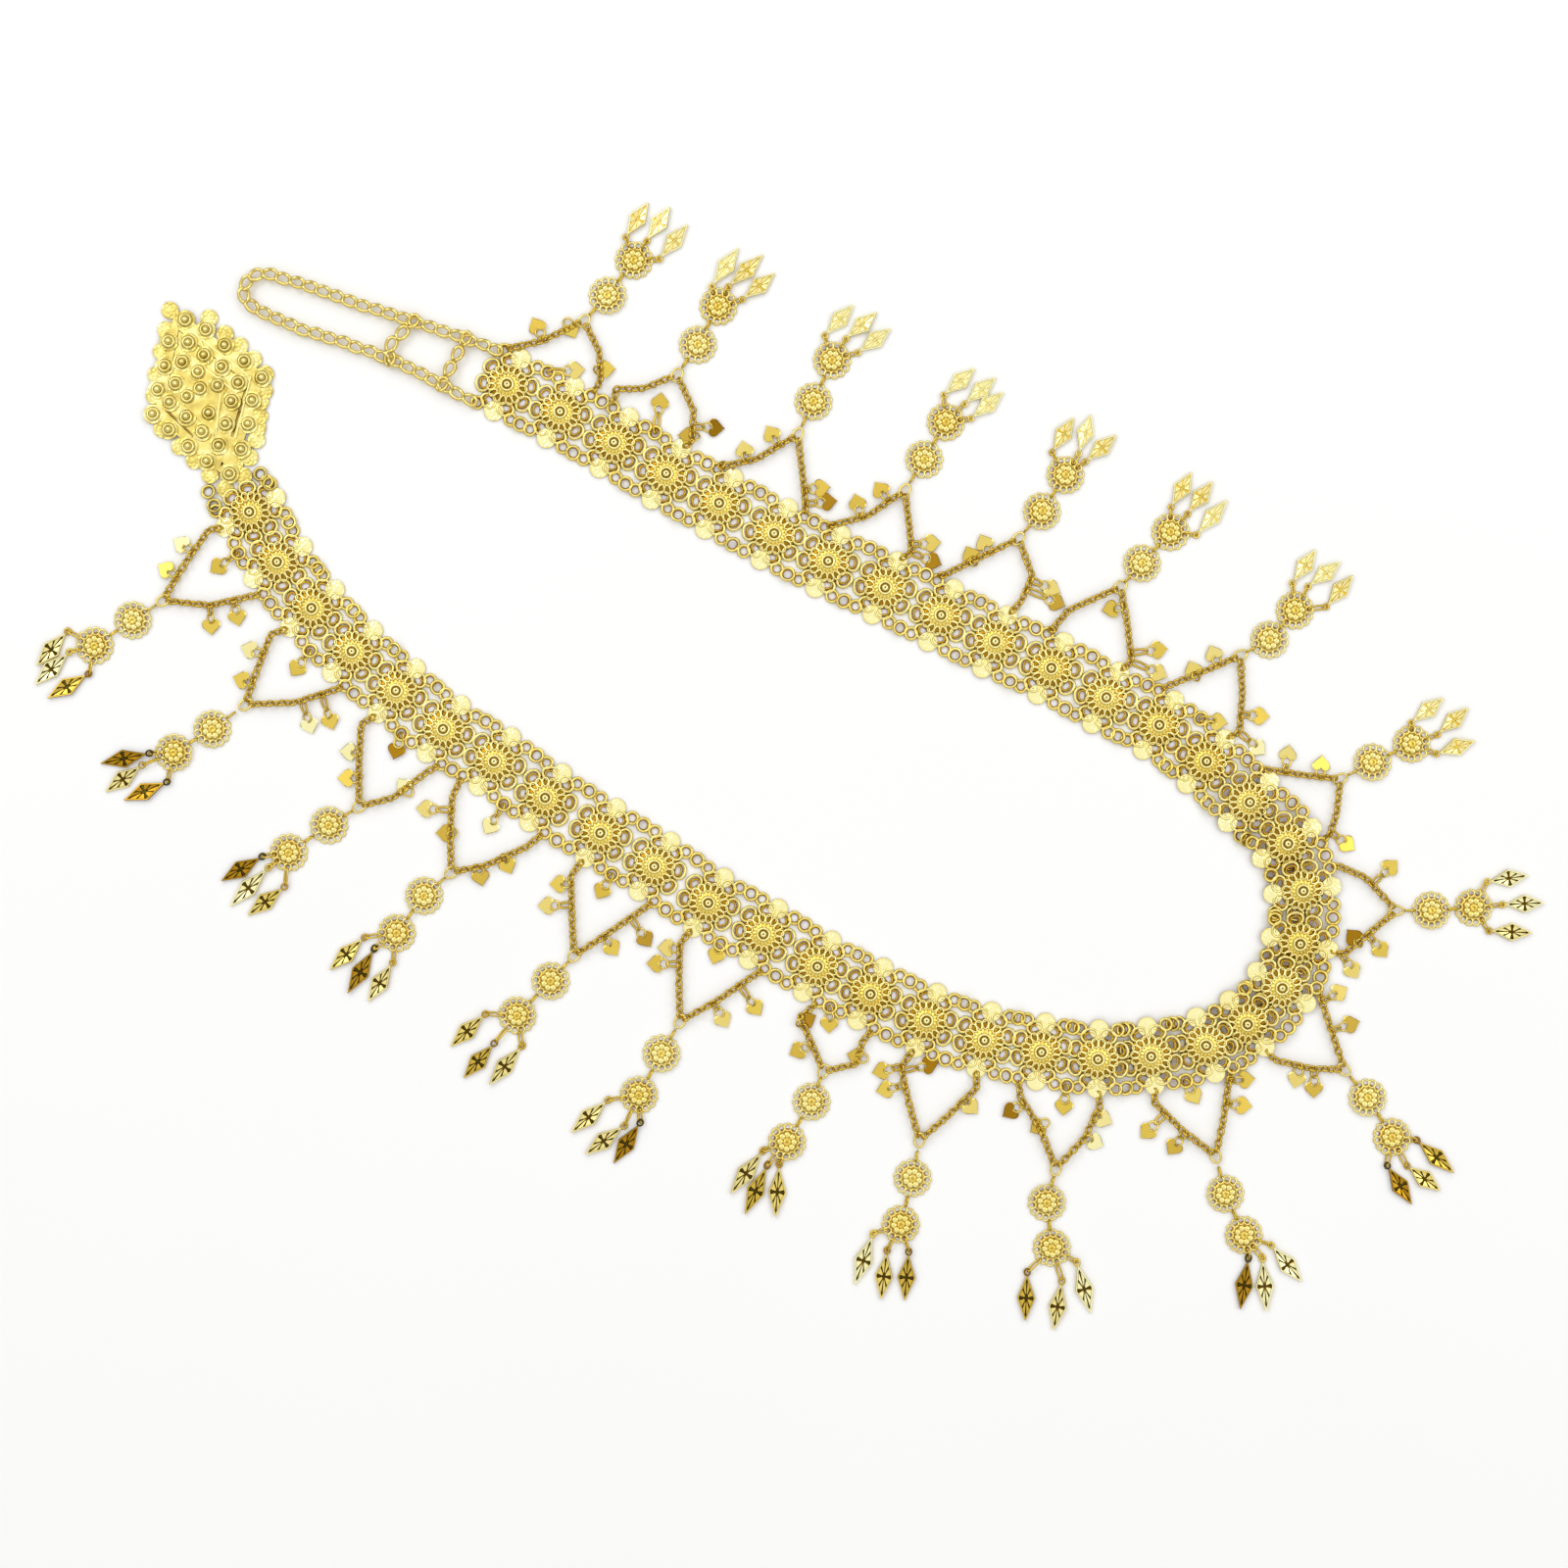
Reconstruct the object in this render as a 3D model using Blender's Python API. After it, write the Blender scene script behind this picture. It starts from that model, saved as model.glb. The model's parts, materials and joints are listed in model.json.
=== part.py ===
# Tassel waist chain: linked filigree medallions with swags, hearts and pendants on their outer edge,
# a domed buckle plate at one end and a ladder of curb chain at the other. It is all metal.
# It lies flat in an open curve with its back on the plane z = 0. Sizes are in millimetres.

import math

import bpy
from mathutils import Vector
from mathutils.geometry import delaunay_2d_cdt

METRE = 0.001

# The layout sheet: one step is GRID wide, x runs right, y runs down, and MIDDLE lies over the origin.
GRID = 0.36
MIDDLE = (806.59, 779.91)

# Seams and meshing. Outline corners that stand out by less than THIN or sit nearer than NEAR go.
# A plane region under SLIVER in twice its area is no solid, and one under SMALL_PATCH is filled.
SEAM = 0.38
CLEAR = 0.56
SNAP = 0.05
THIN = 0.24
NEAR = 0.55
SLIVER = 0.02
SMALL_PATCH = 1.6
CUT_SIDES = 18
CUT_BLOCK = 40.0

# Medallion
PLATE_HEIGHT = 1.0
LOBE_COUNT = 8
LOBE_REACH = 11.4
LOBE_NOTCH = 9.9
LOBE_HALF_ANGLE = math.radians(8)
DISC_OFFSET = 10.8
DISC_RADIUS = 3.6
DISC_SIDES = 8
EYELET_ALONG = 6.84
EYELET_RADIUS = 2.5
EYELET_SIDES = 6
JOINT_WIDTH = 4.2
LINK_WIDTH = 2.2
BRIDGE_WIDTH = 4.6
CONE_RADIUS = 4.1
CONE_SHOULDER_RADIUS = 2.2
CONE_SHOULDER_HEIGHT = 2.9
CONE_HEIGHT = 4.2
CONE_SIDES = 6

# Tassel
STRAND_WIDTH = 2.7
STRAND_HEIGHT = 1.6
HEART_SIZE = 7.2
HEART_RING_WIDTH = 1.5
RING_WIDTH = 3.0
ROSETTE_RADIUS = 6.3
ROSETTE_SIDES = 10
ROSETTE_CAP_RADIUS = 4.2
ROSETTE_CAP_SIDES = 6
ROSETTE_HEIGHT = 3.2
DROP_LENGTH = 13.8
DROP_WIDTH = 5.8
NECK_WIDTH = 1.7

# Buckle
BUCKLE_HEIGHT = 1.4
SCALLOP_RADIUS = 3.5
SCALLOP_SIDES = 8
BOSS_RADIUS = 3.0
BOSS_HEIGHT = 3.9
BOSS_SIDES = 6
TAB_RADIUS = 2.6
TAB_SIDES = 8
TAB_REACH = 0.8

# Extender
CURB_PITCH = 5.0
CURB_WIDTH = 4.6
CURB_WAIST = 3.0
CURB_HEIGHT = 2.6

# Medallion centres on the sheet, from the extender end to the buckle end
MEDALLIONS = (
    (518, 393), (572, 421), (627, 452), (680, 484), (734, 514), (790, 545), (845, 573), (903, 600),
    (960, 628), (1015, 655), (1072, 682), (1128, 712), (1182, 740), (1230, 777), (1273, 818), (1312, 860),
    (1328, 908), (1325, 962), (1307, 1007), (1272, 1044), (1230, 1066), (1174, 1077), (1120, 1080),
    (1062, 1073), (1004, 1061), (945, 1041), (888, 1014), (834, 986), (779, 953), (723, 921), (668, 884),
    (613, 850), (557, 814), (505, 777), (453, 744), (405, 705), (360, 665), (319, 621), (284, 574),
    (256, 523),
)
EXTENDER_SITE = (464, 365)
BUCKLE_SITE = (230, 480)

# Swags on the sheet, one row a tassel: where the first strand starts, its bend, the apex,
# the bend of the second strand and its end
SWAGS = (
    ((524, 355), (553, 349), (596, 328), (612, 360), (613, 390)),
    ((629, 398), (657, 397), (691, 383), (708, 420), (706, 451)),
    ((734, 477), (772, 469), (814, 444), (819, 485), (822, 517)),
    ((846, 537), (885, 527), (923, 501), (928, 540), (930, 564)),
    ((959, 589), (1000, 569), (1039, 550), (1053, 588), (1041, 615)),
    ((1071, 645), (1090, 623), (1143, 599), (1150, 638), (1154, 675)),
    ((1196, 698), (1233, 683), (1265, 669), (1267, 708), (1264, 747)),
    ((1290, 785), (1330, 791), (1367, 795), (1363, 830), (1357, 849)),
    ((1364, 883), (1392, 895), (1424, 929), (1395, 953), (1369, 974)),
    ((1348, 1022), (1360, 1058), (1371, 1091), (1338, 1090), (1299, 1081)),
    ((1253, 1103), (1248, 1140), (1240, 1179), (1206, 1153), (1177, 1124)),
    ((1122, 1128), (1106, 1161), (1077, 1192), (1061, 1151), (1041, 1119)),
    ((996, 1110), (965, 1140), (938, 1163), (928, 1128), (919, 1088)),
    ((880, 1062), (874, 1085), (840, 1093), (829, 1066), (816, 1038)),
    ((768, 996), (733, 1020), (694, 1042), (693, 1000), (694, 963)),
    ((653, 930), (612, 958), (586, 975), (584, 935), (583, 893)),
    ((538, 864), (496, 883), (461, 890), (460, 850), (462, 813)),
    ((436, 788), (402, 814), (367, 823), (367, 780), (369, 740)),
    ((340, 705), (302, 717), (251, 719), (261, 690), (277, 648)),
    ((256, 609), (215, 618), (167, 613), (190, 575), (214, 541)),
)

# Pendants on the sheet, one row a tassel: the two rosettes, then the middle and tip of each of three drops
PENDANTS = (
    ((620, 302), (647, 266), (651, 224), (662, 207), (673, 228), (684, 212), (688, 246), (702, 229)),
    ((712, 352), (733, 313), (741, 272), (754, 253), (762, 276), (779, 260), (775, 292), (791, 279)),
    ((830, 410), (849, 368), (857, 326), (871, 311), (880, 332), (895, 319), (893, 347), (908, 336)),
    ((943, 469), (965, 431), (980, 389), (995, 376), (1001, 398), (1015, 386), (1008, 413), (1024, 400)),
    ((1063, 522), (1087, 485), (1085, 443), (1095, 427), (1107, 442), (1113, 423), (1124, 457), (1138, 445)),
    ((1165, 575), (1194, 543), (1206, 499), (1216, 482), (1225, 507), (1235, 494), (1237, 527), (1252, 510)),
    ((1295, 653), (1321, 623), (1331, 577), (1342, 561), (1352, 585), (1365, 575), (1367, 602), (1378, 589)),
    ((1400, 778), (1440, 759), (1457, 724), (1471, 713), (1483, 735), (1498, 722), (1486, 762), (1504, 756)),
    ((1460, 929), (1503, 926), (1539, 896), (1558, 893), (1555, 922), (1575, 921), (1542, 951), (1563, 952)),
    ((1395, 1120), (1420, 1160),
     (1465, 1181), (1483, 1197), (1453, 1203), (1469, 1215), (1428, 1210), (1440, 1229)),
    ((1250, 1218), (1269, 1260),
     (1269, 1311), (1265, 1336), (1290, 1312), (1292, 1338), (1313, 1290), (1328, 1308)),
    ((1068, 1227), (1073, 1273),
     (1047, 1324), (1046, 1348), (1079, 1333), (1075, 1357), (1106, 1315), (1113, 1340)),
    ((931, 1202), (919, 1249), (881, 1286), (872, 1311), (902, 1302), (899, 1326), (925, 1303), (923, 1327)),
    ((828, 1124), (803, 1165), (761, 1197), (745, 1218), (771, 1215), (760, 1239), (793, 1216), (791, 1242)),
    ((675, 1075), (652, 1117), (601, 1140), (583, 1156), (616, 1164), (597, 1178), (639, 1167), (626, 1187)),
    ((562, 1001), (528, 1036), (477, 1052), (460, 1068), (488, 1083), (473, 1100), (515, 1088), (499, 1107)),
    ((433, 914), (405, 952), (354, 974), (337, 990), (368, 992), (355, 1014), (388, 1003), (376, 1022)),
    ((336, 842), (295, 870), (246, 887), (226, 899), (254, 906), (235, 925), (271, 920), (253, 934)),
    ((217, 744), (178, 768), (127, 774), (103, 779), (126, 795), (108, 808), (148, 808), (127, 817)),
    ((136, 633), (97, 659), (53, 663), (38, 680), (53, 683), (36, 699), (69, 701), (49, 713)),
)

# Heart charms on the sheet that hang from the strands of each tassel
STRAND_HEARTS = (
    ((547, 331), (584, 339), (621, 377)),
    ((732, 437), (699, 445)),
    ((759, 457), (786, 441), (840, 498), (847, 512)),
    ((874, 511), (897, 498), (953, 554), (954, 574)),
    ((1003, 552), (989, 564), (1075, 602), (1080, 616)),
    ((1131, 622), (1184, 663), (1184, 688)),
    ((1216, 681), (1237, 665), (1288, 731)),
    ((1314, 767), (1348, 778), (1376, 863)),
    ((1420, 883), (1410, 971), (1381, 992)),
    ((1380, 1044), (1322, 1103), (1340, 1113)),
    ((1273, 1101), (1270, 1128), (1169, 1156), (1196, 1172)),
    ((1029, 1135), (1057, 1151), (1128, 1143), (1119, 1166)),
    ((897, 1093), (901, 1112), (992, 1131)),
    ((812, 1073), (871, 1077)),
    ((667, 983), (739, 1042), (772, 1030)),
    ((568, 902), (556, 924), (626, 969), (660, 960)),
    ((432, 825), (452, 850), (491, 897), (519, 885)),
    ((354, 767), (352, 794), (411, 800)),
    ((253, 662), (245, 693), (338, 738), (317, 742)),
    ((184, 554), (168, 580), (216, 641), (243, 632)),
)

# Heart charms on the sheet that hang from a band link: the pair of medallions, then the place
BAND_HEARTS = (
    (1, (590, 378)), (2, (674, 408)), (7, (1245, 737)), (11, (1219, 1120)), (12, (1085, 1131)),
    (14, (846, 1047)), (15, (730, 977)), (16, (613, 911)), (17, (499, 845)), (18, (404, 768)),
    (19, (302, 684)), (20, (221, 580)),
)

# Buckle on the sheet: the corners of its plate and the rows of its bosses
BUCKLE_CORNERS = ((179, 316), (271, 382), (236, 492), (158, 424))
BUCKLE_EDGE_COUNTS = (7, 6, 6, 6)
BUCKLE_TABS = ((266, 484), (212, 501))
BOSSES = (
    ((190, 327), (211, 337), (230, 353), (250, 369), (268, 386)),
    ((173, 349), (193, 350), (209, 363), (227, 375), (244, 391)),
    ((169, 374), (187, 370), (203, 380), (223, 394)),
    ((162, 398), (180, 392), (205, 397)),
    ((157, 423), (174, 411), (192, 405), (214, 422), (237, 410), (258, 409)),
    ((173, 439), (191, 426), (207, 441), (231, 433), (254, 433)),
    ((193, 456), (224, 455), (247, 459)),
    ((212, 471), (235, 484)),
)

# Extender on the sheet: the middle line of each chain
EXTENDER = (
    ("extender_upper", ((277, 281), (330, 298), (371, 313), (422, 329), (476, 347), (506, 358))),
    ("extender_lower", ((263, 317), (303, 335), (345, 348), (399, 367), (452, 393), (480, 409))),
    ("extender_end", ((276, 281), (258, 282), (248, 296), (252, 308), (262, 316))),
    ("extender_rung_1", ((422, 329), (397, 356), (399, 367))),
    ("extender_rung_2", ((476, 347), (467, 364), (452, 393))),
)
# The two chains that the cross pieces run between
RAILS = ("extender_upper", "extender_lower")

FINISHES = {
    "band": ((0.83, 0.55, 0.13, 1.0), 0.24),
    "tassel": ((0.80, 0.50, 0.10, 1.0), 0.26),
    "buckle": ((0.90, 0.72, 0.27, 1.0), 0.28),
    "extender": ((0.80, 0.51, 0.11, 1.0), 0.22),
}


# Layout

def place(step):
    return Vector(((step[0] - MIDDLE[0]) * GRID, (MIDDLE[1] - step[1]) * GRID))


SITES = [place(EXTENDER_SITE)] + [place(step) for step in MEDALLIONS] + [place(BUCKLE_SITE)]


def heading(number):
    # Along the band, and out towards the tassels
    along = (SITES[number + 1] - SITES[number - 1]).normalized()
    return along, Vector((-along.y, along.x))


def on_medallion(number, along_by, out_by):
    along, out = heading(number)
    return SITES[number] + along * along_by + out * out_by


def eyelets(number):
    return [on_medallion(number, along_by, out_by)
            for along_by in (-EYELET_ALONG, EYELET_ALONG) for out_by in (-DISC_OFFSET, DISC_OFFSET)]


def discs(number):
    return [on_medallion(number, 0, out_by) for out_by in (-DISC_OFFSET, DISC_OFFSET)]


# Plane outlines

def circle(centre, radius, sides, turn=0.0):
    step = 2 * math.pi / sides
    return [centre + radius * Vector((math.cos(turn + step * i), math.sin(turn + step * i)))
            for i in range(sides)]


def strip(points, width):
    # A band of even width along a line of points
    left, right = [], []
    for i, point in enumerate(points):
        before = points[max(i - 1, 0)]
        after = points[min(i + 1, len(points) - 1)]
        along = (after - before).normalized()
        side = Vector((-along.y, along.x)) * width / 2
        left.append(point + side)
        right.append(point - side)
    return right + left[::-1]


def rosette_plate(number):
    # Eight shallow lobes round a medallion
    along, _ = heading(number)
    turn = math.atan2(along.y, along.x)
    outline = []
    for i in range(LOBE_COUNT):
        middle = turn + (i + 0.5) * 2 * math.pi / LOBE_COUNT
        for angle, reach in ((middle - LOBE_HALF_ANGLE, LOBE_REACH), (middle + LOBE_HALF_ANGLE, LOBE_REACH),
                             (middle + math.pi / LOBE_COUNT, LOBE_NOTCH)):
            outline.append(SITES[number] + reach * Vector((math.cos(angle), math.sin(angle))))
    return outline


def heart(centre, toward, size):
    # The notch faces the ring it hangs from
    forward = toward.normalized()
    side = Vector((-forward.y, forward.x))
    half = size / 2
    corners = ((-0.6, 0.0), (-0.95, 0.5), (-0.25, 1.0), (1.05, 0.0), (-0.25, -1.0), (-0.95, -0.5))
    return [centre + forward * (half * a) + side * (half * b) for a, b in corners]


def lozenge(middle, tip, length, width):
    forward = (tip - middle).normalized()
    side = Vector((-forward.y, forward.x)) * width / 2
    return [middle - forward * length / 2, middle - side, middle + forward * length / 2, middle + side]


def inside(point, outline):
    crossed = False
    for i, start in enumerate(outline):
        end = outline[i - 1]
        if (start.y > point.y) != (end.y > point.y):
            if point.x < (end.x - start.x) * (point.y - start.y) / (end.y - start.y) + start.x:
                crossed = not crossed
    return crossed


def beyond(start, end, back):
    # A broad block past the middle of the line from start to end, less the seam
    along = (end - start).normalized()
    side = Vector((-along.y, along.x)) * CUT_BLOCK
    face = (start + end) / 2 - along * back
    return [face - side, face - side + along * CUT_BLOCK, face + side + along * CUT_BLOCK, face + side]


# Solids: flat pads with raised forms, closed below by a flat back

def area_twice(a, b, c):
    return (b.x - a.x) * (c.y - a.y) - (b.y - a.y) * (c.x - a.x)


def pad_height(point, pads, cuts):
    if any(inside(point, cut) for cut in cuts):
        return 0.0
    return max([height for outline, height in pads if inside(point, outline)], default=0.0)


def triangles(points, edges, faces, kind, snap):
    # Corners, upward triangles, the given points behind each corner, and the triangles of each region
    result = delaunay_2d_cdt(points, edges, faces, kind, snap, True)
    corners = [Vector((round(v.x, 5), round(v.y, 5))) for v in result[0]]
    flat = []
    for a, b, c in result[2]:
        flat.append((a, b, c) if area_twice(corners[a], corners[b], corners[c]) > 0 else (a, c, b))
    lines = {tuple(sorted(edge)) for edge, given in zip(result[1], result[4]) if given}
    return corners, flat, result[3], joined_faces(flat, lambda side, i, k: side in lines)


def joined_faces(flat, parted):
    # Groups of triangles that share sides, where parted(side, one, other) is false
    owners = {}
    for i, face in enumerate(flat):
        for k in range(3):
            owners.setdefault(tuple(sorted((face[k - 1], face[k]))), []).append(i)
    groups, left = [], set(range(len(flat)))
    while left:
        group = [left.pop()]
        for i in group:
            for k in range(3):
                side = tuple(sorted((flat[i][k - 1], flat[i][k])))
                for other in owners[side]:
                    if other in left and not parted(side, i, other):
                        left.discard(other)
                        group.append(other)
        groups.append(group)
    return groups


def heights_over(corners, flat, regions, height_at):
    # A region between outlines has one height, read in the middle of its largest triangle
    heights = [0.0] * len(flat)
    for region in regions:
        sizes = [area_twice(*(corners[k] for k in flat[i])) for i in region]
        largest = flat[region[sizes.index(max(sizes))]]
        if max(sizes) > SLIVER:
            height = height_at(sum((corners[k] for k in largest), Vector((0, 0))) / 3)
            for i in region:
                heights[i] = height
    return heights


def fill_small(corners, flat, heights):
    # A patch smaller than SMALL_PATCH takes the greatest height beside it
    sides = {}
    for i, face in enumerate(flat):
        for k in range(3):
            sides[(face[k - 1], face[k])] = i
    for group in joined_faces(flat, lambda side, i, k: heights[i] != heights[k]):
        if sum(area_twice(*(corners[k] for k in flat[i])) for i in group) < 2 * SMALL_PATCH:
            beside = [sides.get((flat[i][k], flat[i][k - 1])) for i in group for k in range(3)]
            found = [heights[i] for i in beside if i is not None and i not in group]
            for i in group:
                heights[i] = max(found, default=0.0)


def step_edges(flat, heights):
    # Edges where the height changes
    seen = {}
    for face, height in zip(flat, heights):
        for i in range(3):
            key = tuple(sorted((face[i - 1], face[i])))
            seen.setdefault(key, []).append(height)
    found = []
    for key, pair in seen.items():
        if (len(pair) == 2 and pair[0] != pair[1]) or (len(pair) == 1 and pair[0] > 0):
            found.append(key)
    return found


def stand_out(spot, start, end):
    # How far a corner stands from the straight line past it; a short edge counts as no distance
    span = end - start
    if min((spot - start).length, (spot - end).length) < NEAR:
        return 0.0
    return abs(area_twice(start, end, spot)) / max(span.length, SNAP)


def thinned(corners, edges):
    # Drop the corners that the outline hardly needs, the least needed first
    joined = {}
    for a, b in edges:
        joined.setdefault(a, set()).add(b)
        joined.setdefault(b, set()).add(a)
    while True:
        best = None
        for index, ends in joined.items():
            if len(ends) == 2:
                a, b = ends
                score = stand_out(corners[index], corners[a], corners[b])
                if score < THIN and b not in joined[a] and (best is None or score < best[0]):
                    best = (score, index, a, b)
        if best is None:
            break
        _, index, a, b = best
        del joined[index]
        for end, other in ((a, b), (b, a)):
            joined[end].discard(index)
            joined[end].add(other)
    used = sorted(joined)
    place_of = {index: i for i, index in enumerate(used)}
    kept = [(place_of[a], place_of[b]) for a in used for b in joined[a] if a < b]
    return [corners[i] for i in used], sorted(kept)


def pad_steps(pads, cuts):
    points, faces = [], []
    for outline in [pad[0] for pad in pads] + cuts:
        faces.append(list(range(len(points), len(points) + len(outline))))
        points.extend(outline)
    corners, flat, _, regions = triangles(points, [], faces, 0, SNAP)
    heights = heights_over(corners, flat, regions, lambda spot: pad_height(spot, pads, cuts))
    fill_small(corners, flat, heights)
    return thinned(corners, step_edges(flat, heights))


def wall(low_a, high_a, low_b, high_b, levels_a, levels_b):
    # Triangles between two upright lines of levels; each corner is (end, level)
    rise_a = [z for z in levels_a if low_a <= z <= high_a]
    rise_b = [z for z in levels_b if low_b <= z <= high_b]
    found = []
    i = j = 0
    while i < len(rise_a) - 1 or j < len(rise_b) - 1:
        b_next = j < len(rise_b) - 1 and (i == len(rise_a) - 1 or rise_b[j + 1] <= rise_a[i + 1])
        if b_next:
            found.append(((0, rise_a[i]), (1, rise_b[j]), (1, rise_b[j + 1])))
            j += 1
        else:
            found.append(((0, rise_a[i]), (1, rise_b[j]), (0, rise_a[i + 1])))
            i += 1
    return found


def solid(name, pads, raised, cuts, anchor, finish):
    # raised: rows of (loops, peak), each loop (outline, height) and the peak (point, height) or None
    points, edges = pad_steps(pads, cuts)
    marks = {}
    for loops, peak in raised:
        for outline, height in loops:
            first = len(points)
            points.extend(outline)
            edges.extend((first + i, first + (i + 1) % len(outline)) for i in range(len(outline)))
            marks.update({first + i: height for i in range(len(outline))})
        if peak:
            marks[len(points)] = peak[1]
            points.append(peak[0])
    corners, flat, sources, regions = triangles(points, edges, [], 0, SNAP)
    tops = heights_over(corners, flat, regions, lambda spot: pad_height(spot, pads, cuts))
    mark_of = {i: marks[source] for i, group in enumerate(sources) for source in group if source in marks}

    kept = []
    for face, height in zip(flat, tops):
        if height > 0:
            middle = (corners[face[0]] + corners[face[1]] + corners[face[2]]) / 3
            on_form = any(inside(middle, loops[0][0]) for loops, _ in raised)
            kept.append((face, [mark_of.get(i, height) if on_form else height for i in face], on_form))

    # Heights used at each corner, and the height on the left of each edge
    levels = {}
    left = {}
    for face, heights, _ in kept:
        for i in range(3):
            levels.setdefault(face[i], {0.0}).add(heights[i])
            left[(face[i - 1], face[i])] = (heights[i - 1], heights[i])
    levels = {index: sorted(found) for index, found in levels.items()}

    verts, numbers, faces, smooth = [], {}, [], []

    def number(index, height):
        key = (index, height)
        if key not in numbers:
            numbers[key] = len(verts)
            spot = corners[index] - anchor
            verts.append((spot.x * METRE, spot.y * METRE, height * METRE))
        return numbers[key]

    for face, heights, on_form in kept:
        faces.append([number(face[i], heights[i]) for i in range(3)])
        smooth.append(on_form)
    rim = []
    for (a, b), (high_a, high_b) in left.items():
        low_b, low_a = left.get((b, a), (0.0, 0.0))
        if (b, a) not in left:
            rim.append((a, b))
        if high_a + high_b > low_a + low_b:
            for corner in wall(low_a, high_a, low_b, high_b, levels[a], levels[b]):
                faces.append([number((a, b)[end], level) for end, level in corner])
                smooth.append(False)

    # The flat back uses only the outer rim
    used = sorted({index for edge in rim for index in edge})
    place_of = {index: i for i, index in enumerate(used)}
    back_edges = [(place_of[a], place_of[b]) for a, b in rim]
    spots, back, sources, regions = triangles([corners[i] for i in used], back_edges, [], 0, SNAP / 50)
    above = [[corners[i] for i in face] for face, _, _ in kept]
    covered = heights_over(spots, back, regions, lambda spot: any(inside(spot, face) for face in above))
    for face, cover in zip(back, covered):
        if cover:
            faces.append([number(used[sources[i][0]], 0.0) for i in reversed(face)])
            smooth.append(False)

    mesh = bpy.data.meshes.new(name)
    mesh.from_pydata(verts, [], faces)
    mesh.polygons.foreach_set("use_smooth", smooth)
    mesh.materials.append(finish)
    mesh.update()
    part = bpy.data.objects.new(name, mesh)
    part.location = (anchor.x * METRE, anchor.y * METRE, 0.0)
    bpy.context.scene.collection.objects.link(part)
    return part


# Sub-parts

def metal(name):
    colour, roughness = FINISHES[name]
    material = bpy.data.materials.new(name + "_gold")
    material.use_nodes = True
    shader = material.node_tree.nodes["Principled BSDF"]
    shader.inputs["Base Color"].default_value = colour
    shader.inputs["Metallic"].default_value = 1.0
    shader.inputs["Roughness"].default_value = roughness
    return material


def band_clearance(number):
    # Outlines that keep a neighbour one seam away from a medallion
    cuts = [circle(spot, EYELET_RADIUS + CLEAR, CUT_SIDES) for spot in eyelets(number)]
    cuts += [circle(spot, DISC_RADIUS + CLEAR, CUT_SIDES) for spot in discs(number)]
    cuts.append(circle(SITES[number], LOBE_REACH + CLEAR, CUT_SIDES))
    for out_by in (-DISC_OFFSET, DISC_OFFSET):
        ends = [on_medallion(number, along_by, out_by) for along_by in (-EYELET_ALONG, EYELET_ALONG)]
        cuts.append(strip(ends, JOINT_WIDTH + 2 * CLEAR))
        if number < len(MEDALLIONS):
            link = [ends[1], on_medallion(number + 1, -EYELET_ALONG, out_by)]
            cuts.append(strip(link, LINK_WIDTH + 2 * CLEAR))
    return cuts


def band_hooks(pair):
    # Each heart on this pair's outer link: its middle and the point it hangs from
    first = 2 * pair - 1
    hook = (on_medallion(first, EYELET_ALONG, DISC_OFFSET)
            + on_medallion(first + 1, -EYELET_ALONG, DISC_OFFSET)) / 2
    return [(place(step), hook) for owner, step in BAND_HEARTS if owner == pair]


def band_pair(pair, finish):
    first = 2 * pair - 1
    pads, raised = [], []
    for number in (first, first + 1):
        pads.append((rosette_plate(number), PLATE_HEIGHT))
        pads += [(circle(spot, EYELET_RADIUS, EYELET_SIDES), PLATE_HEIGHT) for spot in eyelets(number)]
        pads += [(circle(spot, DISC_RADIUS, DISC_SIDES), PLATE_HEIGHT) for spot in discs(number)]
        for out_by in (-DISC_OFFSET, DISC_OFFSET):
            ends = [on_medallion(number, along_by, out_by) for along_by in (-EYELET_ALONG, EYELET_ALONG)]
            pads.append((strip(ends, JOINT_WIDTH), PLATE_HEIGHT))
            for end, along_by, other in zip(ends, (EYELET_ALONG, -EYELET_ALONG), (number - 1, number + 1)):
                if 0 < other <= len(MEDALLIONS):
                    link = [end, on_medallion(other, along_by, out_by)]
                    pads.append((strip(link, LINK_WIDTH), PLATE_HEIGHT))
        cone = circle(SITES[number], CONE_RADIUS, CONE_SIDES)
        shoulder = circle(SITES[number], CONE_SHOULDER_RADIUS, CONE_SIDES)
        loops = ((cone, PLATE_HEIGHT), (shoulder, CONE_SHOULDER_HEIGHT))
        raised.append((loops, (SITES[number], CONE_HEIGHT)))
    pads.append((strip([SITES[first], SITES[first + 1]], BRIDGE_WIDTH), PLATE_HEIGHT))
    for centre, hook in band_hooks(pair):
        pads += charm(centre, hook, PLATE_HEIGHT, 0.0)
    cuts = [beyond(SITES[first], SITES[first - 1], SEAM / 2),
            beyond(SITES[first + 1], SITES[first + 2], SEAM / 2)]
    middle = (SITES[first] + SITES[first + 1]) / 2
    return solid("band_%02d" % pair, pads, raised, cuts, middle, finish)


def charm(centre, hook, height, margin):
    hang = centre - hook
    return [(heart(centre, hang, HEART_SIZE + 2 * margin), height),
            (strip([hook, centre], HEART_RING_WIDTH + 2 * margin), height)]


def nearest(point, line):
    best = line[0]
    for start, end in zip(line, line[1:]):
        span = end - start
        share = min(max((point - start).dot(span) / span.length_squared, 0.0), 1.0)
        spot = start + span * share
        if (spot - point).length < (best - point).length:
            best = spot
    return best


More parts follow.
